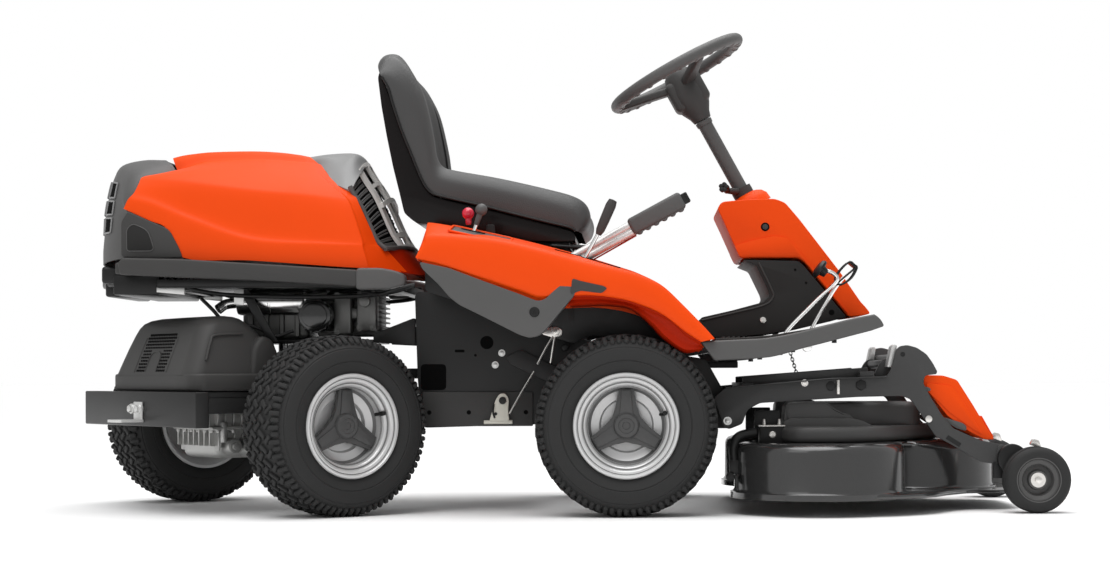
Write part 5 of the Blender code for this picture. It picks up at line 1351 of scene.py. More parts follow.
def reverse_pedal():
    """The bent rod with an open wedge-shaped pad."""
    reverse = Shape()
    reverse.tube([(0.588, -0.222, 0.372), (0.598, -0.222, 0.41), (0.636, -0.222, 0.478),
                  (0.655, -0.222, 0.508), (0.672, -0.222, 0.53)], 0.0045, 12, 6)
    reverse.rod((0.588, -0.238, 0.372), (0.588, -0.206, 0.372), 0.011, 24, 0.001)
    reverse.show("reverse_pedal_rod", "chrome", "reverse_pedal", "reverse_pedal")
    pad = Shape()
    outline = [(0.653, 0.512), (0.668, 0.513), (0.688, 0.527), (0.7, 0.549), (0.694, 0.556), (0.684, 0.563),
               (0.668, 0.55), (0.655, 0.532)]
    for y in (-0.245, -0.203):
        loop = refine([(x, y, z) for x, z in outline + outline[:1]], 3)
        pad.tube(loop, 0.0022, 8, 1)
    pad.plate([(0.684, 0.566), (0.702, 0.551), (0.699, 0.547), (0.681, 0.562)], -0.246, -0.198, 0.0012)
    pad.plate([(0.655, 0.512), (0.7, 0.549), (0.698, 0.552), (0.653, 0.515)], -0.246, -0.198, 0.0012)
    pad.show("reverse_pedal_pad", "black", "reverse_pedal")


def brake_pedal():
    """The bent rod with a ribbed square pad."""
    brake = Shape()
    brake.tube([(0.536, 0.262, 0.368), (0.54, 0.262, 0.4), (0.6, 0.262, 0.46), (0.64, 0.262, 0.505),
                (0.624, 0.262, 0.543)], 0.005, 12, 6)
    brake.rod((0.536, 0.246, 0.368), (0.536, 0.278, 0.368), 0.011, 24, 0.001)
    brake.show("brake_pedal_rod", "paint", "brake_pedal", "brake_pedal")
    pad = Shape()
    tilt = Matrix.Translation((0.62, 0.262, 0.546)) @ PEDAL_TURN
    pad.block((-0.024, -0.02, -0.006), (0.024, 0.02, 0.004), 0.003, 2, tilt)
    for k in range(4):
        pad.block((-0.021, -0.016 + k * 0.009, 0.003), (0.021, -0.011 + k * 0.009, 0.0062), 0.001, 1, tilt)
    pad.show("brake_pedal_pad", "black", "brake_pedal")


def pedals():
    """Forward and reverse pedals on the right, the brake pedal on the left."""
    forward_pedal()
    reverse_pedal()
    brake_pedal()


# ------------------------------------------------------------------ main frame
def front_axle():
    """The axle and its sleeves."""
    axles = Shape()
    axles.rod((FRONT_AXLE_X, -0.4, AXLE_Z), (FRONT_AXLE_X, 0.4, AXLE_Z), 0.0127, 32)
    for sign in SIDES.values():
        axles.rod((FRONT_AXLE_X, sign * 0.2, AXLE_Z), (FRONT_AXLE_X, sign * 0.262, AXLE_Z), 0.024, 32,
                  0.002)
    axles.show("front_axle", "paint", "chassis")


def frame_holes_and_bolts():
    """Openings shown as dark plates of painted shade, and bolt heads, on both side plates."""
    holes = Shape()
    bolts = Shape()
    for sign in SIDES.values():
        y = sorted((sign * 0.1925, sign * 0.1938))
        holes.plate(filleted([(-0.29, 0.276), (-0.29, 0.335), (-0.232, 0.335), (-0.232, 0.276)], 0.01), *y,
                    0.0002, 1)
        holes.plate(filleted([(-0.212, 0.362), (-0.212, 0.368), (-0.19, 0.368), (-0.19, 0.362)], 0.002), *y,
                    0.0002, 1)
        for x, z, r in ((-0.139, 0.384, 0.015), (-0.075, 0.34, 0.004), (-0.165, 0.355, 0.003)):
            holes.rod((x, y[0], z), (x, y[1], z), r, 32)
        for x in (-0.27, -0.18, -0.05):
            holes.rod((x, sign * 0.1985, 0.225), (x, sign * 0.1995, 0.225), 0.005, 24)
        for x, z in ((-0.12, 0.333), (-0.105, 0.36)):
            bolts.bolt((x, sign * 0.193, z), (0, sign, 0), 0.0055, 0.004)
        bolts.bolt((0.407, sign * 0.2485, 0.205), (0, sign, 0), 0.0065, 0.003)
    holes.show("frame_holes", "painted_shade", "chassis")
    bolts.show("frame_bolts", "steel", "chassis")


def frame_bracket():
    """The cream bracket on the right sill and its black fittings."""
    cream = Shape()
    cream.plate(filleted([(-0.134, 0.2), (-0.13, 0.214), (-0.118, 0.255), (-0.108, 0.268), (-0.096, 0.268),
                          (-0.088, 0.256), (-0.09, 0.224), (-0.086, 0.205)], 0.01), -0.212, -0.206, 0.0015)
    cream.rod((-0.145, -0.209, 0.203), (-0.08, -0.209, 0.203), 0.0045, 16, 0.001)
    cream.show("frame_bracket", "cream", "chassis")
    dark = Shape()
    dark.rod((-0.102, -0.2125, 0.252), (-0.102, -0.2165, 0.252), 0.0085, 28, 0.001)
    dark.rod((-0.118, -0.2115, 0.222), (-0.118, -0.214, 0.222), 0.0035, 20)
    dark.tube([(-0.122, -0.214, 0.244), (-0.124, -0.214, 0.226), (-0.12, -0.214, 0.212)], 0.002, 8, 3)
    dark.rod((0.03, -0.222, 0.432), (0.03, -0.204, 0.432), 0.013, 24, 0.002)
    dark.rod((0.04, -0.214, 0.372), (0.04, -0.2, 0.372), 0.008, 24, 0.002)
    dark.show("frame_bracket_fittings", "black", "chassis")


def lift_linkage():
    """The small lever and rods between the lift lever and the deck."""
    lever = Shape()
    lever.plate(filleted([(-0.012, 0.402), (-0.006, 0.412), (0.016, 0.42), (0.034, 0.414), (0.034, 0.398),
                          (0.014, 0.394)], 0.006), -0.24, -0.235, 0.001)
    lever.rod((0.022, -0.243, 0.407), (0.022, -0.194, 0.407), 0.007, 24, 0.001)
    lever.tube([(0.014, -0.238, 0.398), (-0.005, -0.234, 0.366), (-0.022, -0.226, 0.334)], 0.0026, 8, 3)
    lever.tube([(0.018, -0.236, 0.396), (0.013, -0.234, 0.368), (0.008, -0.226, 0.337)], 0.0026, 8, 3)
    lever.tube([(-0.03, -0.222, 0.318), (-0.058, -0.222, 0.272), (-0.086, -0.222, 0.222)], 0.0022, 8, 3)
    lever.show("lift_linkage", "zinc", "chassis")


def battery_and_tank():
    """The battery in the frame and the fuel tank under the left fender."""
    clutter = Shape()
    clutter.block((-0.255, -0.09, 0.282), (-0.075, 0.09, 0.45), 0.004)
    clutter.show("battery_looks", "black", "chassis", "battery")
    tank = Shape()
    tank.block((-0.2, 0.245, 0.43), (0.01, 0.4, 0.54), 0.022, 4)
    tank.rod((-0.1, 0.33, 0.538), (-0.1, 0.33, 0.556), 0.028, 32, 0.004)
    tank.show("fuel_tank_looks", "black", "chassis", "fuel_tank")


def wheel_arch_liners():
    """The walls that close the wheel arches towards the frame."""
    well = Shape()
    liner = [(-0.275, 0.56), (-0.275, 0.5), (-0.18, 0.47), (0.0, 0.4), (0.06, 0.38), (0.1, 0.4),
             (0.32, 0.372), (0.3, 0.44), (0.2, 0.52), (0.0, 0.575)]
    for sign in SIDES.values():
        well.plate(filleted(liner, 0.01), sign * 0.2315, sign * 0.236, 0.001)
    well.show("wheel_arch_liners", "black", "chassis")


def frame_details():
    """What is bolted to the frame."""
    front_axle()
    frame_holes_and_bolts()
    frame_bracket()
    lift_linkage()
    battery_and_tank()
    wheel_arch_liners()


def frame_plates():
    """Everything that stands for the welded frame."""
    outline = [(-0.303, 0.5), (-0.297, 0.3), (-0.287, 0.19), (-0.034, 0.197), (0.09, 0.2), (0.11, 0.222),
               (0.25, 0.222), (0.33, 0.187), (0.421, 0.187), (0.421, 0.235), (0.36, 0.345), (0.08, 0.39),
               (0.04, 0.5)]
    plates = Shape()
    for sign in SIDES.values():
        plates.plate(filleted(outline, 0.012), sign * 0.187, sign * 0.193, 0.0015)
        plates.plate(filleted([(-0.095, 0.352), (-0.06, 0.368), (0.05, 0.312), (0.07, 0.25), (0.04, 0.24),
                               (0.02, 0.285), (-0.085, 0.335)], 0.006), sign * 0.194, sign * 0.201, 0.0015)
    inner = 0.189
    plates.block((-0.285, -inner, 0.275), (-0.279, inner, 0.47), 0.001)
    plates.block((-0.281, -inner, 0.275), (0.04, inner, 0.281), 0.001)
    plates.block((0.33, -inner, 0.23), (0.336, inner, 0.34), 0.001)
    plates.block((0.16, -0.262, 0.19), (0.2, 0.262, 0.226), 0.004)
    plates.prism([(-0.28, -0.06), (PIVOT_X, -0.05), (PIVOT_X, 0.05), (-0.28, 0.06)], 0.302, 0.326,
                 0.003)
    plates.rod((PIVOT_X, 0, 0.302), (PIVOT_X, 0, 0.326), 0.07, 48, 0.003)
    plates.prism([(-0.4, -0.13), (-0.66, -0.13), (-0.72, -0.09), (-0.72, 0.09), (-0.66, 0.13),
                  (-0.4, 0.13)], 0.385, 0.393, 0.001)
    for y in (-0.035, 0.035):
        plates.block((-0.545, y - 0.012, 0.323), (-0.515, y + 0.012, 0.387), 0.001)
    for x in (-0.2, 0.005):
        for sign in SIDES.values():
            plates.block((x, sign * 0.13, 0.279), (x + 0.03, sign * 0.16, 0.598), 0.002)
    plates.block((0.3, -0.05, 0.325), (0.44, 0.05, 0.34), 0.002)
    plates.block((0.395, -0.03, 0.335), (0.44, 0.03, 0.365), 0.002)
    for sign in SIDES.values():
        plates.cone((0.06, sign * 0.215, 0.395), (0.052, sign * 0.215, 0.49), 0.02, 0.024, 24, 0.003)
        plates.plate([(-0.4, 0.405), (-0.31, 0.44), (-0.303, 0.44), (-0.303, 0.38), (-0.4, 0.385)],
                     sign * 0.17, sign * 0.176, 0.002)
    plates.show("main_frame_looks", "paint", "chassis", "main_frame")


def frame_sills():
    """The thick lower edge on each side."""
    sills = Shape()
    for sign in SIDES.values():
        low, high = sorted((sign * 0.188, sign * 0.199))
        sills.block((-0.286, low, 0.1935), (-0.034, high, 0.272), 0.003)
    sills.show("frame_sills", "charcoal", "chassis")


def main_frame():
    """The chassis: plates, cross members, the axle beam and the tongue to the rear carriage."""
    frame_plates()
    frame_sills()
    frame_details()


# ------------------------------------------------------------------ rear carriage
def cover_ring(level, back, front, wide, corner):
    """A rounded plan outline of the rear cover, the same number of points at every level."""
    plan = [(back, -wide * 0.86), (back + 0.022, -wide), (front, -wide * 1.01)]
    plan = plan + [(x, -y) for x, y in reversed(plan)]
    return [Vector((x, y, level)) for x, y in filleted(plan, corner, 5)]


def rear_cover_shell():
    """The cover's dome on its rim, with a bulge on each side."""
    levels = [
        cover_ring(0.312, -0.343, -0.08, 0.206, 0.03),
        cover_ring(0.33, -0.336, -0.092, 0.203, 0.03),
        cover_ring(0.372, -0.319, -0.128, 0.194, 0.032),
        cover_ring(0.402, -0.306, -0.153, 0.186, 0.034),
        cover_ring(0.42, -0.297, -0.168, 0.18, 0.036),
        cover_ring(0.431, -0.288, -0.18, 0.173, 0.038),
        cover_ring(0.4385, -0.274, -0.192, 0.163, 0.04),
        cover_ring(0.443, -0.254, -0.206, 0.148, 0.042),
        cover_ring(0.446, -0.22, -0.216, 0.1, 0.02),
    ]
    shell = Shape()
    shell.loft(levels)
    plan = [(-0.3435, -0.15), (-0.34, -0.196), (-0.32, -0.22), (-0.08, -0.22)]
    plan = plan + [(x, -y) for x, y in reversed(plan)]
    shell.prism(filleted(plan, 0.02), 0.2765, 0.315, 0.005, 2)
    for sign in SIDES.values():
        shell.plate(filleted([(-0.196, 0.3), (-0.19, 0.372), (-0.168, 0.402), (-0.14, 0.392),
                              (-0.118, 0.34), (-0.112, 0.3)], 0.016), sign * 0.15, sign * 0.2125, 0.012, 4)
    shell.show("rear_cover_looks", "charcoal", "rear_carriage", "rear_cover", place=REAR, smooth=50)


def rear_cover_grille():
    """Rows of small round holes in the sloping back, drawn as dark discs of painted shade."""
    holes = Shape()
    for row in range(12):
        z = 0.3215 + row * 0.0074
        x = -0.343 + (z - 0.312) * 0.41
        for column in range(-8, 9):
            y = column * 0.0088 + (0.0044 if row % 2 else 0)
            if abs(y) > 0.072 or (z < 0.366 and abs(y) < 0.028):
                continue
            holes.rod((x - 0.001, y, z), (x + 0.003, y, z), 0.0034, 6)
    holes.show("rear_cover_grille", "painted_shade", "rear_carriage", place=REAR)


def rear_cover_ridges():
    """Raised lines on the sides and round the grille."""
    details = Shape()
    for sign in SIDES.values():
        details.tube([(-0.3, sign * 0.202, 0.345), (-0.286, sign * 0.196, 0.385),
                      (-0.272, sign * 0.19, 0.4), (-0.205, sign * 0.189, 0.404)], 0.003, 10, 5)
    for y in (-0.084, 0.084):
        details.tube([(-0.3405, y, 0.318), (-0.3225, y, 0.362), (-0.3075, y * 0.98, 0.398)], 0.0016, 8, 4)
    details.tube([(-0.34, -0.028, 0.319), (-0.326, -0.026, 0.356), (-0.322, 0.0, 0.3655),
                  (-0.326, 0.026, 0.356), (-0.34, 0.028, 0.319)], 0.0016, 8, 6)
    details.show("rear_cover_ridges", "charcoal", "rear_carriage", place=REAR)


def rear_cover():
    """The moulded cover of the rear carriage."""
    rear_cover_shell()
    rear_cover_grille()
    rear_cover_ridges()


def transaxle():
    """The finned casting between the rear wheels, with its flange, bolts, axle and input pulley."""
    drive = Shape()
    drive.block((-0.225, -0.092, 0.122), (-0.02, 0.08, 0.236), 0.018, 3)
    for k in range(10):
        x = -0.222 + k * 0.02
        drive.block((x, -0.104, 0.15 - 0.012 * (k % 3 == 0)), (x + 0.004, 0.09, 0.19), 0.0015, 1)
        drive.block((x, -0.1, 0.196), (x + 0.003, 0.086, 0.24), 0.001, 1)
    for k in range(7):
        y = -0.086 + k * 0.027
        drive.block((-0.236, y, 0.15), (-0.22, y + 0.004, 0.236), 0.0015, 1)
    drive.block((-0.24, -0.108, 0.187), (-0.015, 0.095, 0.195), 0.002, 1)
    for k in range(6):
        drive.bolt((-0.222 + k * 0.038, -0.1, 0.187), (0, 0, -1), 0.006, 0.005)
        drive.bolt((-0.232, -0.09 + k * 0.034, 0.187), (0, 0, -1), 0.005, 0.005)
    for x, radius in ((-0.19, 0.02), (-0.145, 0.026), (-0.096, 0.018)):
        drive.cone((x, -0.08, 0.15), (x, -0.124, 0.15), radius, radius * 0.85, 32, 0.003)
        drive.bolt((x, -0.124, 0.15), (0, -1, 0), radius * 0.45, 0.004)
    drive.rod((-0.208, -0.098, 0.205), (-0.208, -0.098, 0.158), 0.011, 24, 0.002)
    drive.rod((-0.12, -0.1, 0.215), (-0.06, -0.112, 0.215), 0.01, 24, 0.002)
    drive.rod((REAR_AXLE_X, -0.25, AXLE_Z), (REAR_AXLE_X, 0.25, AXLE_Z), 0.026, 32, 0.002)
    drive.rod((REAR_AXLE_X, -0.4, AXLE_Z), (REAR_AXLE_X, 0.4, AXLE_Z), 0.0127, 32)
    drive.block((-0.2, -0.14, 0.232), (-0.04, 0.14, 0.2614), 0.003)
    drive.rod((-0.165, 0, 0.23), (-0.165, 0, 0.35), 0.01, 20)
    drive.rod((-0.165, 0, 0.342), (-0.165, 0, 0.358), 0.039, 40, 0.002)
    drive.show("transaxle_looks", "casting", "rear_carriage", "transaxle", place=REAR)


def rear_frame():
    """The carriage's plates and the ring it swings on."""
    frame_shape = Shape()
    frame_shape.block((-0.338, -0.215, 0.262), (-0.08, 0.215, 0.2745), 0.003)
    frame_shape.block((-0.12, -0.15, 0.262), (0.03, 0.15, 0.27), 0.002)
    for sign in SIDES.values():
        frame_shape.block((-0.337, sign * 0.185 - 0.028, 0.226),
                          (-0.11, sign * 0.185 + 0.028, 0.264), 0.005)
    frame_shape.rod((0, 0, 0.264), (0, 0, 0.3012), 0.072, 48, 0.003)
    frame_shape.block((-0.338, -0.2, 0.206), (-0.33, 0.2, 0.268), 0.001)
    frame_shape.show("rear_frame_looks", "paint", "rear_carriage", "rear_frame", place=REAR)


def rear_bumper():
    """The heavy bar across the back."""
    weight = Shape()
    weight.block((-0.37, -0.295, 0.197), (-0.3384, 0.295, 0.275), 0.003, 3)
    weight.show("rear_bumper_looks", "black", "rear_carriage", "rear_bumper", place=REAR)


def tow_plate():
    """The plated tongue with a hole, and its two bolts."""
    tow = Shape()
    tow.block((-0.3755, -0.03, 0.21), (-0.3705, 0.012, 0.252), 0.0015, 2)
    ring = circle(0.0095, 24, -0.41)
    for half in (1, -1):
        arc = sorted((p for p in ring if p[1] * half >= -1e-6), key=lambda p: p[0])
        far = [(-0.371, 0.0), (-0.371, half * 0.032), (-0.424, half * 0.032), (-0.432, half * 0.024),
               (-0.432, 0.0)]
        tow.prism(far + arc, 0.206, 0.212, 0.0)
    for y in (-0.019, 0.019):
        tow.cone((-0.3705, y, 0.236), (-0.379, y, 0.236), 0.0125, 0.0115, 32, 0.001)
        tow.bolt((-0.3785, y, 0.236), (-1, 0, 0), 0.0085, 0.005, washer=False)
    tow.show("tow_plate_looks", "brushed", "rear_carriage", "tow_plate", place=REAR)


def rear_carriage():
    """Everything that swings with the rear wheels, apart from the wheels."""
    rear_cover()
    rear_frame()
    rear_bumper()
    tow_plate()
    transaxle()


# ------------------------------------------------------------------ cutting deck
def deck_handle():
    """The bar that lifts the deck's frame, with bright collars at its ends."""
    bar = Shape()
    bar.rod((0.802, -0.2435, 0.344), (0.802, 0.2435, 0.344), 0.012, 32)
    bar.rod((0.776, -0.165, 0.332), (0.776, 0.165, 0.332), 0.0105, 32, 0.003)
    for sign in SIDES.values():
        bar.plate(filleted([(0.744, 0.306), (0.76, 0.336), (0.77, 0.346), (0.786, 0.346), (0.79, 0.332),
                            (0.78, 0.306)], 0.006), sign * 0.16, sign * 0.18, 0.003)
    bar.show("lift_bar", "plate", "deck_linkage")
    ends = Shape()
    for sign in SIDES.values():
        ends.plate(filleted([(0.768, 0.325), (0.778, 0.372), (0.784, 0.377), (0.791, 0.374),
                             (0.784, 0.325)], 0.003), sign * 0.186, sign * 0.236, 0.003)
    ends.show("lift_bar_collars", "brushed", "deck_linkage")


def deck_arms():
    """Two cut-out arms with their flanges, joined by cross bars."""
    arm = [(0.392, 0.214), (0.376, 0.257), (0.404, 0.281), (0.503, 0.2895), (0.639, 0.301), (0.766, 0.305),
           (0.776, 0.321), (0.786, 0.363), (0.794, 0.372), (0.812, 0.375), (0.834, 0.369), (0.856, 0.354),
           (0.87, 0.334), (0.88, 0.315), (0.878, 0.309), (0.852, 0.306), (0.848, 0.289), (0.862, 0.262),
           (0.89, 0.217), (0.915, 0.187), (0.975, 0.16), (1.04, 0.147), (1.04, 0.112), (1.01, 0.106),
           (0.977, 0.111), (0.92, 0.145), (0.875, 0.17), (0.845, 0.215), (0.82, 0.252), (0.8, 0.26),
           (0.7, 0.258), (0.48, 0.245), (0.452, 0.23), (0.44, 0.198), (0.41, 0.186), (0.398, 0.192)]
    arms = Shape()
    for sign in SIDES.values():
        arms.plate(filleted(arm, 0.006, 3), sign * 0.242, sign * 0.248, 0.0015)
        arms.plate([(0.404, 0.281), (0.503, 0.2895), (0.639, 0.301), (0.766, 0.305), (0.766, 0.302),
                    (0.639, 0.298), (0.503, 0.2865), (0.404, 0.278)], sign * 0.24, sign * 0.253, 0.0008, 1)
        arms.plate(filleted([(1.01, 0.108), (1.016, 0.15), (1.052, 0.148), (1.108, 0.092), (1.106, 0.06),
                             (1.078, 0.056)], 0.01), sign * 0.2435, sign * 0.2515, 0.0015)
        arms.plate([(0.445, 0.284), (0.73, 0.304), (0.73, 0.325), (0.445, 0.304)],
                   sign * 0.17, sign * 0.19, 0.002)
    arms.block((0.438, -0.2435, 0.27), (0.466, 0.2435, 0.29), 0.002)
    arms.block((0.706, -0.2435, 0.298), (0.738, 0.2435, 0.316), 0.002)
    arms.show("deck_frame_looks", "plate", "deck_linkage", "deck_frame")


def deck_arm_pins():
    """Bright pins and bolts on the arms."""
    pins = Shape()
    for sign in SIDES.values():
        pins.rod((0.656, sign * 0.25, 0.264), (0.656, sign * 0.25, 0.297), 0.0042, 16, 0.001)
        pins.cone((0.86, sign * 0.247, 0.208), (0.86, sign * 0.2515, 0.208), 0.0085, 0.0078, 28, 0.001)
        pins.bolt((0.581, sign * 0.247, 0.29), (0, sign, 0), 0.0055, 0.003)
    pins.show("deck_frame_pins", "zinc", "deck_linkage")


def deck_arm_fittings():
    """Black knobs and bushes on the arms, and slots drawn as thin black plates of painted shade."""
    dark = Shape()
    for sign in SIDES.values():
        dark.rod((0.802, sign * 0.247, 0.354), (0.802, sign * 0.2484, 0.354), 0.0055, 24)
        # painted shade: the slot is a thin black plate where there is an opening
        slot = Matrix.Translation((0.916, sign * 0.2478, 0.158)) @ Matrix.Rotation(math.radians(33), 4, "Y")
        dark.block((-0.018, -0.0008, -0.005), (0.018, 0.0008, 0.005), 0.0005, 1, slot)
        dark.rod((1.046, sign * 0.2485, 0.118), (1.046, sign * 0.268, 0.118), 0.034, 32, 0.004)
        dark.block((1.005, sign * 0.243, 0.074), (1.045, sign * 0.25, 0.112), 0.002)
        dark.rod((0.708, sign * 0.246, 0.285), (0.708, sign * 0.252, 0.285), 0.013, 6, 0.002)
        dark.rod((0.64, sign * 0.247, 0.283), (0.64, sign * 0.25, 0.283), 0.011, 28, 0.002)
    dark.show("deck_frame_fittings", "black", "deck_linkage")


def front_cover():
    """The orange cover between the arms' front ends."""
    cover = Shape()
    outline = [(0.853, 0.28), (0.85, 0.307), (0.895, 0.306), (0.927, 0.296), (0.963, 0.239), (0.996, 0.183),
               (1.012, 0.161), (0.99, 0.16), (0.955, 0.178), (0.905, 0.214)]
    cover.plate(filleted(outline, 0.006), -0.23, 0.23, 0.01, 4)
    cover.plate(filleted([(0.856, 0.29), (0.905, 0.284), (0.921, 0.277), (0.95, 0.231), (0.984, 0.172),
                          (0.962, 0.184), (0.91, 0.222), (0.86, 0.27)], 0.005), -0.2325, 0.2325, 0.0012, 2)
    cover.plate([(0.991, 0.212), (0.996, 0.213), (1.023, 0.165), (1.016, 0.163)], -0.15, 0.15, 0.0015)
    cover.show("front_cover_looks", "orange", "deck", "front_cover")


def front_cover_inserts():
    """Grey inserts in the cover's sides."""
    inserts = Shape()
    for sign in SIDES.values():
        y = sorted((sign * 0.228, sign * 0.235))
        inserts.plate(filleted([(0.895, 0.212), (0.94, 0.198), (0.948, 0.19), (0.946, 0.18), (0.925, 0.186),
                                (0.905, 0.198)], 0.006), *y, 0.002)
        inserts.plate(filleted([(0.852, 0.281), (0.864, 0.279), (0.868, 0.274), (0.864, 0.27),
                                (0.852, 0.271)], 0.003), *y, 0.002)
    inserts.show("front_cover_inserts", "trim", "deck")


def deck_linkage():
    """The folding frame that carries the deck, and the cover at its front."""
    deck_arms()
    deck_arm_pins()
    deck_arm_fittings()
    deck_handle()
    front_cover()
    front_cover_inserts()


DECK_WHEEL = Vector((1.0925, 0.3, 0.0735))


def deck_wheels():
    """Two small wheels in front of the deck, with tyres, hubs, washers and stub axles."""
    for side, sign in SIDES.items():
        body = f"deck_wheel_{side}"
        centre = Vector((DECK_WHEEL.x, sign * DECK_WHEEL.y, DECK_WHEEL.z))
        stand = DATUM @ Matrix.Translation(centre) @ Matrix.Rotation(-sign * math.pi / 2, 4, "X")
        rubber = Shape()
        rubber.lathe([(0.046, 0.03), (0.052, 0.034), (0.062, 0.0345), (0.069, 0.03), (0.0728, 0.02),
                      (0.0735, 0.008), (0.0735, -0.008), (0.0728, -0.02), (0.069, -0.03), (0.062, -0.0345),
                      (0.046, -0.032), (0.046, 0.0)], 72)
        for k in range(3):
            height = 0.006 + 0.006 * k
            for level in (height, -height):
                rubber.lathe([(0.07, level - 0.0012), (0.0737, level - 0.0008), (0.0737, level + 0.0008),
                              (0.07, level + 0.0012)], 72)
        rubber.show(f"{body}_tyre", "rubber", body, body, place=stand)
        hub = Shape()
        hub.lathe([(0.009, 0.02), (0.0205, 0.02), (0.023, 0.008), (0.032, 0.006), (0.036, 0.02),
                   (0.044, 0.024), (0.048, 0.0325), (0.05, 0.0325), (0.05, -0.033), (0.034, -0.03),
                   (0.009, -0.034)], 64)
        hub.show(f"{body}_hub", "trim", body, place=stand)
        washer = Shape()
        washer.lathe([(0.0055, 0.0215), (0.0165, 0.0215), (0.0165, 0.02), (0.0055, 0.02)], 48)
        washer.rod((0, 0, 0.021), (0, 0, 0.029), 0.0078, 6, 0.001)
        washer.show(f"{body}_washer", "zinc", body, place=stand)
    stubs = Shape()
    for sign in SIDES.values():
        stubs.rod((DECK_WHEEL.x, sign * 0.247, DECK_WHEEL.z), (DECK_WHEEL.x, sign * 0.322, DECK_WHEEL.z),
                  0.008, 24)
        stubs.plate(filleted([(1.085, 0.15), (1.092, 0.163), (1.106, 0.16), (1.112, 0.14)], 0.005),
                    sign * 0.245, sign * 0.262, 0.002)
    stubs.show("deck_wheel_stubs", "zinc", "deck_linkage")


SPINDLES = {"right": (0.612, -0.265), "middle": (0.85, 0.0), "left": (0.612, 0.265)}
BOWL_SMOOTH = 40


def deck_bowls():
    """Three bowls with rounded shoulders and a turned-out hem, cut open where they meet."""
    profile = [(0.0112, 0.1568), (0.172, 0.1568), (0.182, 0.1535), (0.188, 0.147), (0.1905, 0.137),
               (0.1915, 0.056), (0.195, 0.05), (0.2005, 0.0485), (0.201, 0.0355), (0.1975, 0.0355),
               (0.1965, 0.045), (0.1915, 0.0465), (0.188, 0.052), (0.187, 0.138), (0.18, 0.15),
               (0.17, 0.153), (0.0112, 0.153)]
    bowls = {}
    for side, (x, y) in SPINDLES.items():
        bowl = Shape()
        bowl.lathe(profile, 96, Matrix.Translation((x, y, 0)))
        bowls[side] = bowl.show(f"deck_bowl_{side}", "bowl", "deck", smooth=BOWL_SMOOTH)
    others = {side: [s for s in SPINDLES if s != side] for side in SPINDLES}
    cores = {}
    for side, (x, y) in SPINDLES.items():
        core = Shape()
        core.rod((x, y, 0.0), (x, y, 0.1525), 0.1868, 96)
        cores[side] = core.cutter(f"core_{side}")
    for side, obj in bowls.items():
        for other in others[side]:
            cutter = obj.modifiers.new("open", "BOOLEAN")
            cutter.object = cores[other]
            cutter.operation = "DIFFERENCE"
            cutter.solver = "EXACT"
        bake(obj)
    for core in cores.values():
        bpy.data.objects.remove(core)
    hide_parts("deck_shell")


def deck_bridge():
    """The flat parts between the bowls."""
    bridge = Shape()
    bridge.block((0.5, -0.235, 0.12), (0.64, 0.235, 0.153), 0.006, 3)
    bridge.block((0.63, -0.24, 0.148), (0.83, 0.24, 0.153), 0.002)
    for sign in SIDES.values():
        bridge.prism([(0.7, sign * 0.06), (0.82, sign * 0.185), (0.8, sign * 0.245), (0.64, sign * 0.25)],
                     0.1515, 0.1562, 0.0015)
    bridge.block((0.48, -0.15, 0.115), (0.505, 0.15, 0.153), 0.004)
    bridge.show("deck_bridge", "bowl", "deck")


def deck_mounts():
    """The brackets that hang the deck from its frame, and a hose stub."""
    mounts = Shape()
    for sign in SIDES.values():
        mounts.block((0.478, sign * 0.205, 0.155), (0.535, sign * 0.262, 0.192), 0.003)
        mounts.block((0.47, sign * 0.18, 0.17), (0.53, sign * 0.2, 0.228), 0.002)
    mounts.tube([(0.42, -0.3, 0.11), (0.418, -0.3, 0.15), (0.432, -0.298, 0.172), (0.468, -0.292, 0.18)],
                0.011, 14, 6)
    mounts.block((0.408, -0.312, 0.088), (0.432, -0.288, 0.12), 0.004)
    mounts.rod((0.41, -0.3, 0.082), (0.41, -0.32, 0.082), 0.01, 24, 0.003)
    mounts.show("deck_mounts", "black", "deck")


def deck_mount_plates():
    """Bright plates, pins and bolt ends on the brackets."""
    shiny = Shape()
    for sign in SIDES.values():
        shiny.block((0.476, sign * 0.204, 0.192), (0.536, sign * 0.263, 0.1955), 0.001)
        shiny.cone((0.507, sign * 0.262, 0.174), (0.507, sign * 0.268, 0.174), 0.0092, 0.008, 28, 0.002)
        for x in (0.49, 0.524):
            shiny.cone((x, sign * 0.235, 0.195), (x, sign * 0.235, 0.209), 0.0045, 0.0028, 16, 0.001)
    shiny.show("deck_mount_plates", "zinc", "deck")


def deck_housing():
    """The pressed steel deck and what is bolted to it."""
    deck_bowls()
    deck_bridge()
    deck_mounts()
    deck_mount_plates()


def deck_flange():
    """The turned-out hem that joins the bowls' rims at the front."""
    hem = Shape()
    for sign in SIDES.values():
        plan = [(0.66, 0.3), (0.7, 0.438), (0.76, 0.424), (0.82, 0.385), (0.868, 0.335), (0.9, 0.275),
                (0.945, 0.215), (0.985, 0.17), (0.96, 0.12), (0.86, 0.186), (0.79, 0.2), (0.75, 0.26)]
        hem.prism([(x, sign * y) for x, y in plan], 0.037, 0.048, 0.004, 2)
    lip = [(0.95, -0.205), (1.04, -0.19), (1.082, -0.15), (1.088, 0.0)]
    inner = [(1.03, 0.0), (1.01, -0.11), (0.97, -0.16)]
    outline = lip + [(x, -y) for x, y in reversed(lip[:-1])]
    outline += [(x, -y) for x, y in reversed(inner[1:])] + inner
    hem.prism(outline, 0.037, 0.045, 0.003, 2)
    hem.show("deck_hem", "bowl", "deck")


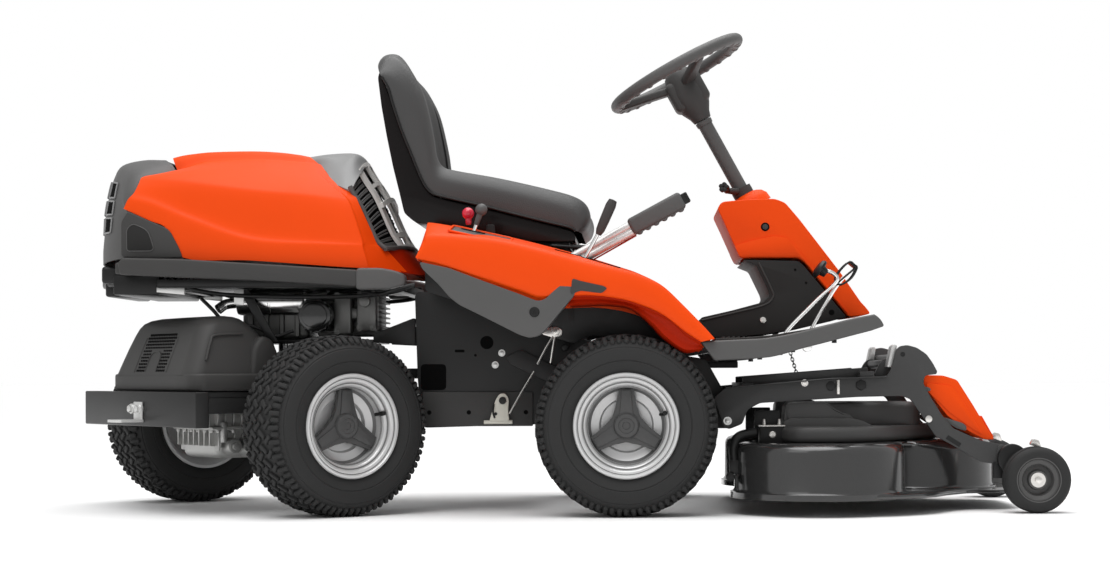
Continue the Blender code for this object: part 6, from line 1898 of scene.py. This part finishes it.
def belt_cover():
    """The moulded cover over the deck's belt: a tray, a raised middle and a crest on each side."""
    tray = [(0.52, -0.25), (0.555, -0.314), (0.65, -0.322), (0.715, -0.29), (0.905, -0.065), (0.915, 0.0)]
    tray = tray + [(x, -y) for x, y in reversed(tray[:-1])]
    cover = Shape()
    cover.prism(filleted(tray, 0.03), 0.1574, 0.192, 0.012, 4)
    middle = [(0.555, -0.11), (0.64, -0.15), (0.84, -0.13), (0.862, -0.1), (0.865, 0.0)]
    middle = middle + [(x, -y) for x, y in reversed(middle[:-1])]
    cover.prism(filleted(middle, 0.02), 0.185, 0.244, 0.012, 4)
    crest = [(0.533, 0.18), (0.54, 0.238), (0.548, 0.2455), (0.628, 0.2475), (0.642, 0.24), (0.66, 0.224),
             (0.684, 0.219), (0.698, 0.205), (0.716, 0.198), (0.73, 0.18)]
    shoulder = [(0.522, 0.175), (0.536, 0.203), (0.548, 0.21), (0.69, 0.21), (0.712, 0.204), (0.742, 0.19),
                (0.756, 0.175)]
    for sign in SIDES.values():
        cover.plate(filleted(crest, 0.006), sign * 0.11, sign * 0.215, 0.007, 3)
        cover.plate(filleted(shoulder, 0.006), sign * 0.15, sign * 0.233, 0.006, 3)
        ridge = [(0.548, sign * 0.2155, 0.196), (0.544, sign * 0.2155, 0.234), (0.556, sign * 0.214, 0.243),
                 (0.626, sign * 0.214, 0.244), (0.648, sign * 0.215, 0.231), (0.672, sign * 0.2155, 0.219)]
        cover.tube(ridge, 0.002, 8, 5)
    cover.show("belt_cover_looks", "trim", "deck", "belt_cover")


BLADE_HALF = 0.168


def blades():
    """A blade with turned-up ends below each bowl, and its spindle and pulley."""
    for side, (x, y) in SPINDLES.items():
        blade = Shape()
        blade.block((x - 0.022, y - BLADE_HALF, 0.06), (x + 0.022, y + BLADE_HALF, 0.0635), 0.0008, 1)
        for sign in (-1, 1):
            turned_up = Matrix.Rotation(sign * math.radians(-35), 4, "Y")
            tip = Matrix.Translation((x - sign * 0.018, y + sign * 0.125, 0.064)) @ turned_up
            blade.block((-0.012, -0.04, -0.0015), (0.012, 0.04, 0.0015), 0.0005, 1, tip)
        blade.rod((x, y, 0.056), (x, y, 0.186), 0.0105, 28)
        blade.rod((x, y, 0.172), (x, y, 0.184), 0.04, 48, 0.002)
        blade.bolt((x, y, 0.06), (0, 0, -1), 0.011, 0.002)
        blade.show(f"blade_{side}_looks", "steel", f"blade_{side}", f"blade_{side}")


def chain():
    """The hanging chain between the floor and the deck's frame."""
    links = Shape()
    top = Vector((0.559, -0.1, 0.362))
    low = Vector((0.576, -0.1, 0.304))
    count = 8
    for k in range(count):
        t = (k + 0.5) / count
        middle = top.lerp(low, t)
        along = (low - top).normalized()
        across = Vector((0, 1, 0)) if k % 2 else Vector((0.96, 0, 0.28))
        ring = []
        for step in range(13):
            angle = step * math.tau / 12
            ring.append(middle + along * 0.0056 * math.cos(angle) + across * 0.0034 * math.sin(angle))
        links.tube(ring, 0.0011, 6, 1)
    links.show("lift_chain", "paint", "chassis")


# ------------------------------------------------------------------ kept CAD nodes
KEPT = {"drive_belt": "belt", "deck_belt": "belt", "engine_pulley": "steel"}


def dress_kept_nodes():
    """The CAD nodes that no piece stands for get a finish of their own."""
    for node, look in KEPT.items():
        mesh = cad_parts[node].data
        mat, _ = FINISHES[look]
        mesh.materials.clear()
        mesh.materials.append(mat)


# ------------------------------------------------------------------ stage
def studio_floor():
    """A wide floor that is nearly white."""
    bpy.context.scene.view_settings.view_transform = "Standard"
    bpy.ops.mesh.primitive_plane_add(size=120, location=(0, 0, -0.0005))
    ground = bpy.context.object
    ground.name = "studio_floor"
    mat = bpy.data.materials.new("studio_floor")
    mat.use_nodes = True
    shader = mat.node_tree.nodes["Principled BSDF"]
    shader.inputs["Base Color"].default_value = (0.95, 0.95, 0.95, 1)
    shader.inputs["Roughness"].default_value = 0.7
    shader.inputs["Specular IOR Level"].default_value = 0.1
    ground.data.materials.append(mat)


def studio_world():
    """A white background that lights the machine less than it shines into the camera."""
    world = bpy.data.worlds.new("studio")
    world.use_nodes = True
    nodes = world.node_tree.nodes
    link = world.node_tree.links.new
    sky = nodes["Background"]
    sky.inputs["Color"].default_value = (1, 1, 1, 1)
    rays = nodes.new("ShaderNodeLightPath")
    glow = nodes.new("ShaderNodeMapRange")
    glow.inputs["To Min"].default_value = 0.56
    glow.inputs["To Max"].default_value = 1.0
    link(rays.outputs["Is Camera Ray"], glow.inputs["Value"])
    link(glow.outputs["Result"], sky.inputs["Strength"])
    bpy.context.scene.world = world


def studio_lights():
    """A soft sun from above and two large lamps."""
    for name, kind, place, size, power in (("overhead", "SUN", (-0.3, -1.1, 4.0), math.radians(50), 1.75),
                                           ("key", "AREA", (-1.8, -3.4, 3.4), 2.2, 16),
                                           ("top", "AREA", (0.2, 0.6, 3.2), 2.6, 52)):
        light = bpy.data.lights.new(name, kind)
        if kind == "SUN":
            light.angle = size
        else:
            light.size = size
        light.energy = power
        obj = bpy.data.objects.new(name, light)
        bpy.context.scene.collection.objects.link(obj)
        obj.location = place
        obj.rotation_euler = (Vector((0, 0, 0.4)) - Vector(place)).to_track_quat("-Z", "Y").to_euler()


def floor_and_light():
    """A white studio."""
    studio_floor()
    studio_world()
    studio_lights()


CAMERA_AT = (0.21, -4.9, 0.313)
CAMERA_ROLL = -0.003
LENS_MM = 66.97
LENS_SHIFT = (-0.0766, 0.0831)


def camera():
    """A level camera on the machine's right side."""
    lens = bpy.data.cameras.new("camera")
    lens.sensor_width = 36.0
    lens.lens = LENS_MM
    lens.shift_x, lens.shift_y = LENS_SHIFT
    lens.dof.use_dof = False
    obj = bpy.data.objects.new("camera", lens)
    bpy.context.scene.collection.objects.link(obj)
    turn = Matrix.Rotation(math.pi / 2, 4, "X") @ Matrix.Rotation(CAMERA_ROLL, 4, "Z")
    obj.matrix_world = DATUM @ Matrix.Translation(CAMERA_AT) @ turn
    bpy.context.scene.camera = obj


# ------------------------------------------------------------------ the whole machine
road_wheels()
hood()
rail_and_engine()
seat()
for fender_side, fender_sign in SIDES.items():
    fender(fender_side, fender_sign)
hand_controls()
console()
floor_and_trim()
steering()
pedals()
main_frame()
rear_carriage()
deck_linkage()
deck_wheels()
deck_housing()
deck_flange()
belt_cover()
blades()
chain()
dress_kept_nodes()
floor_and_light()
camera()
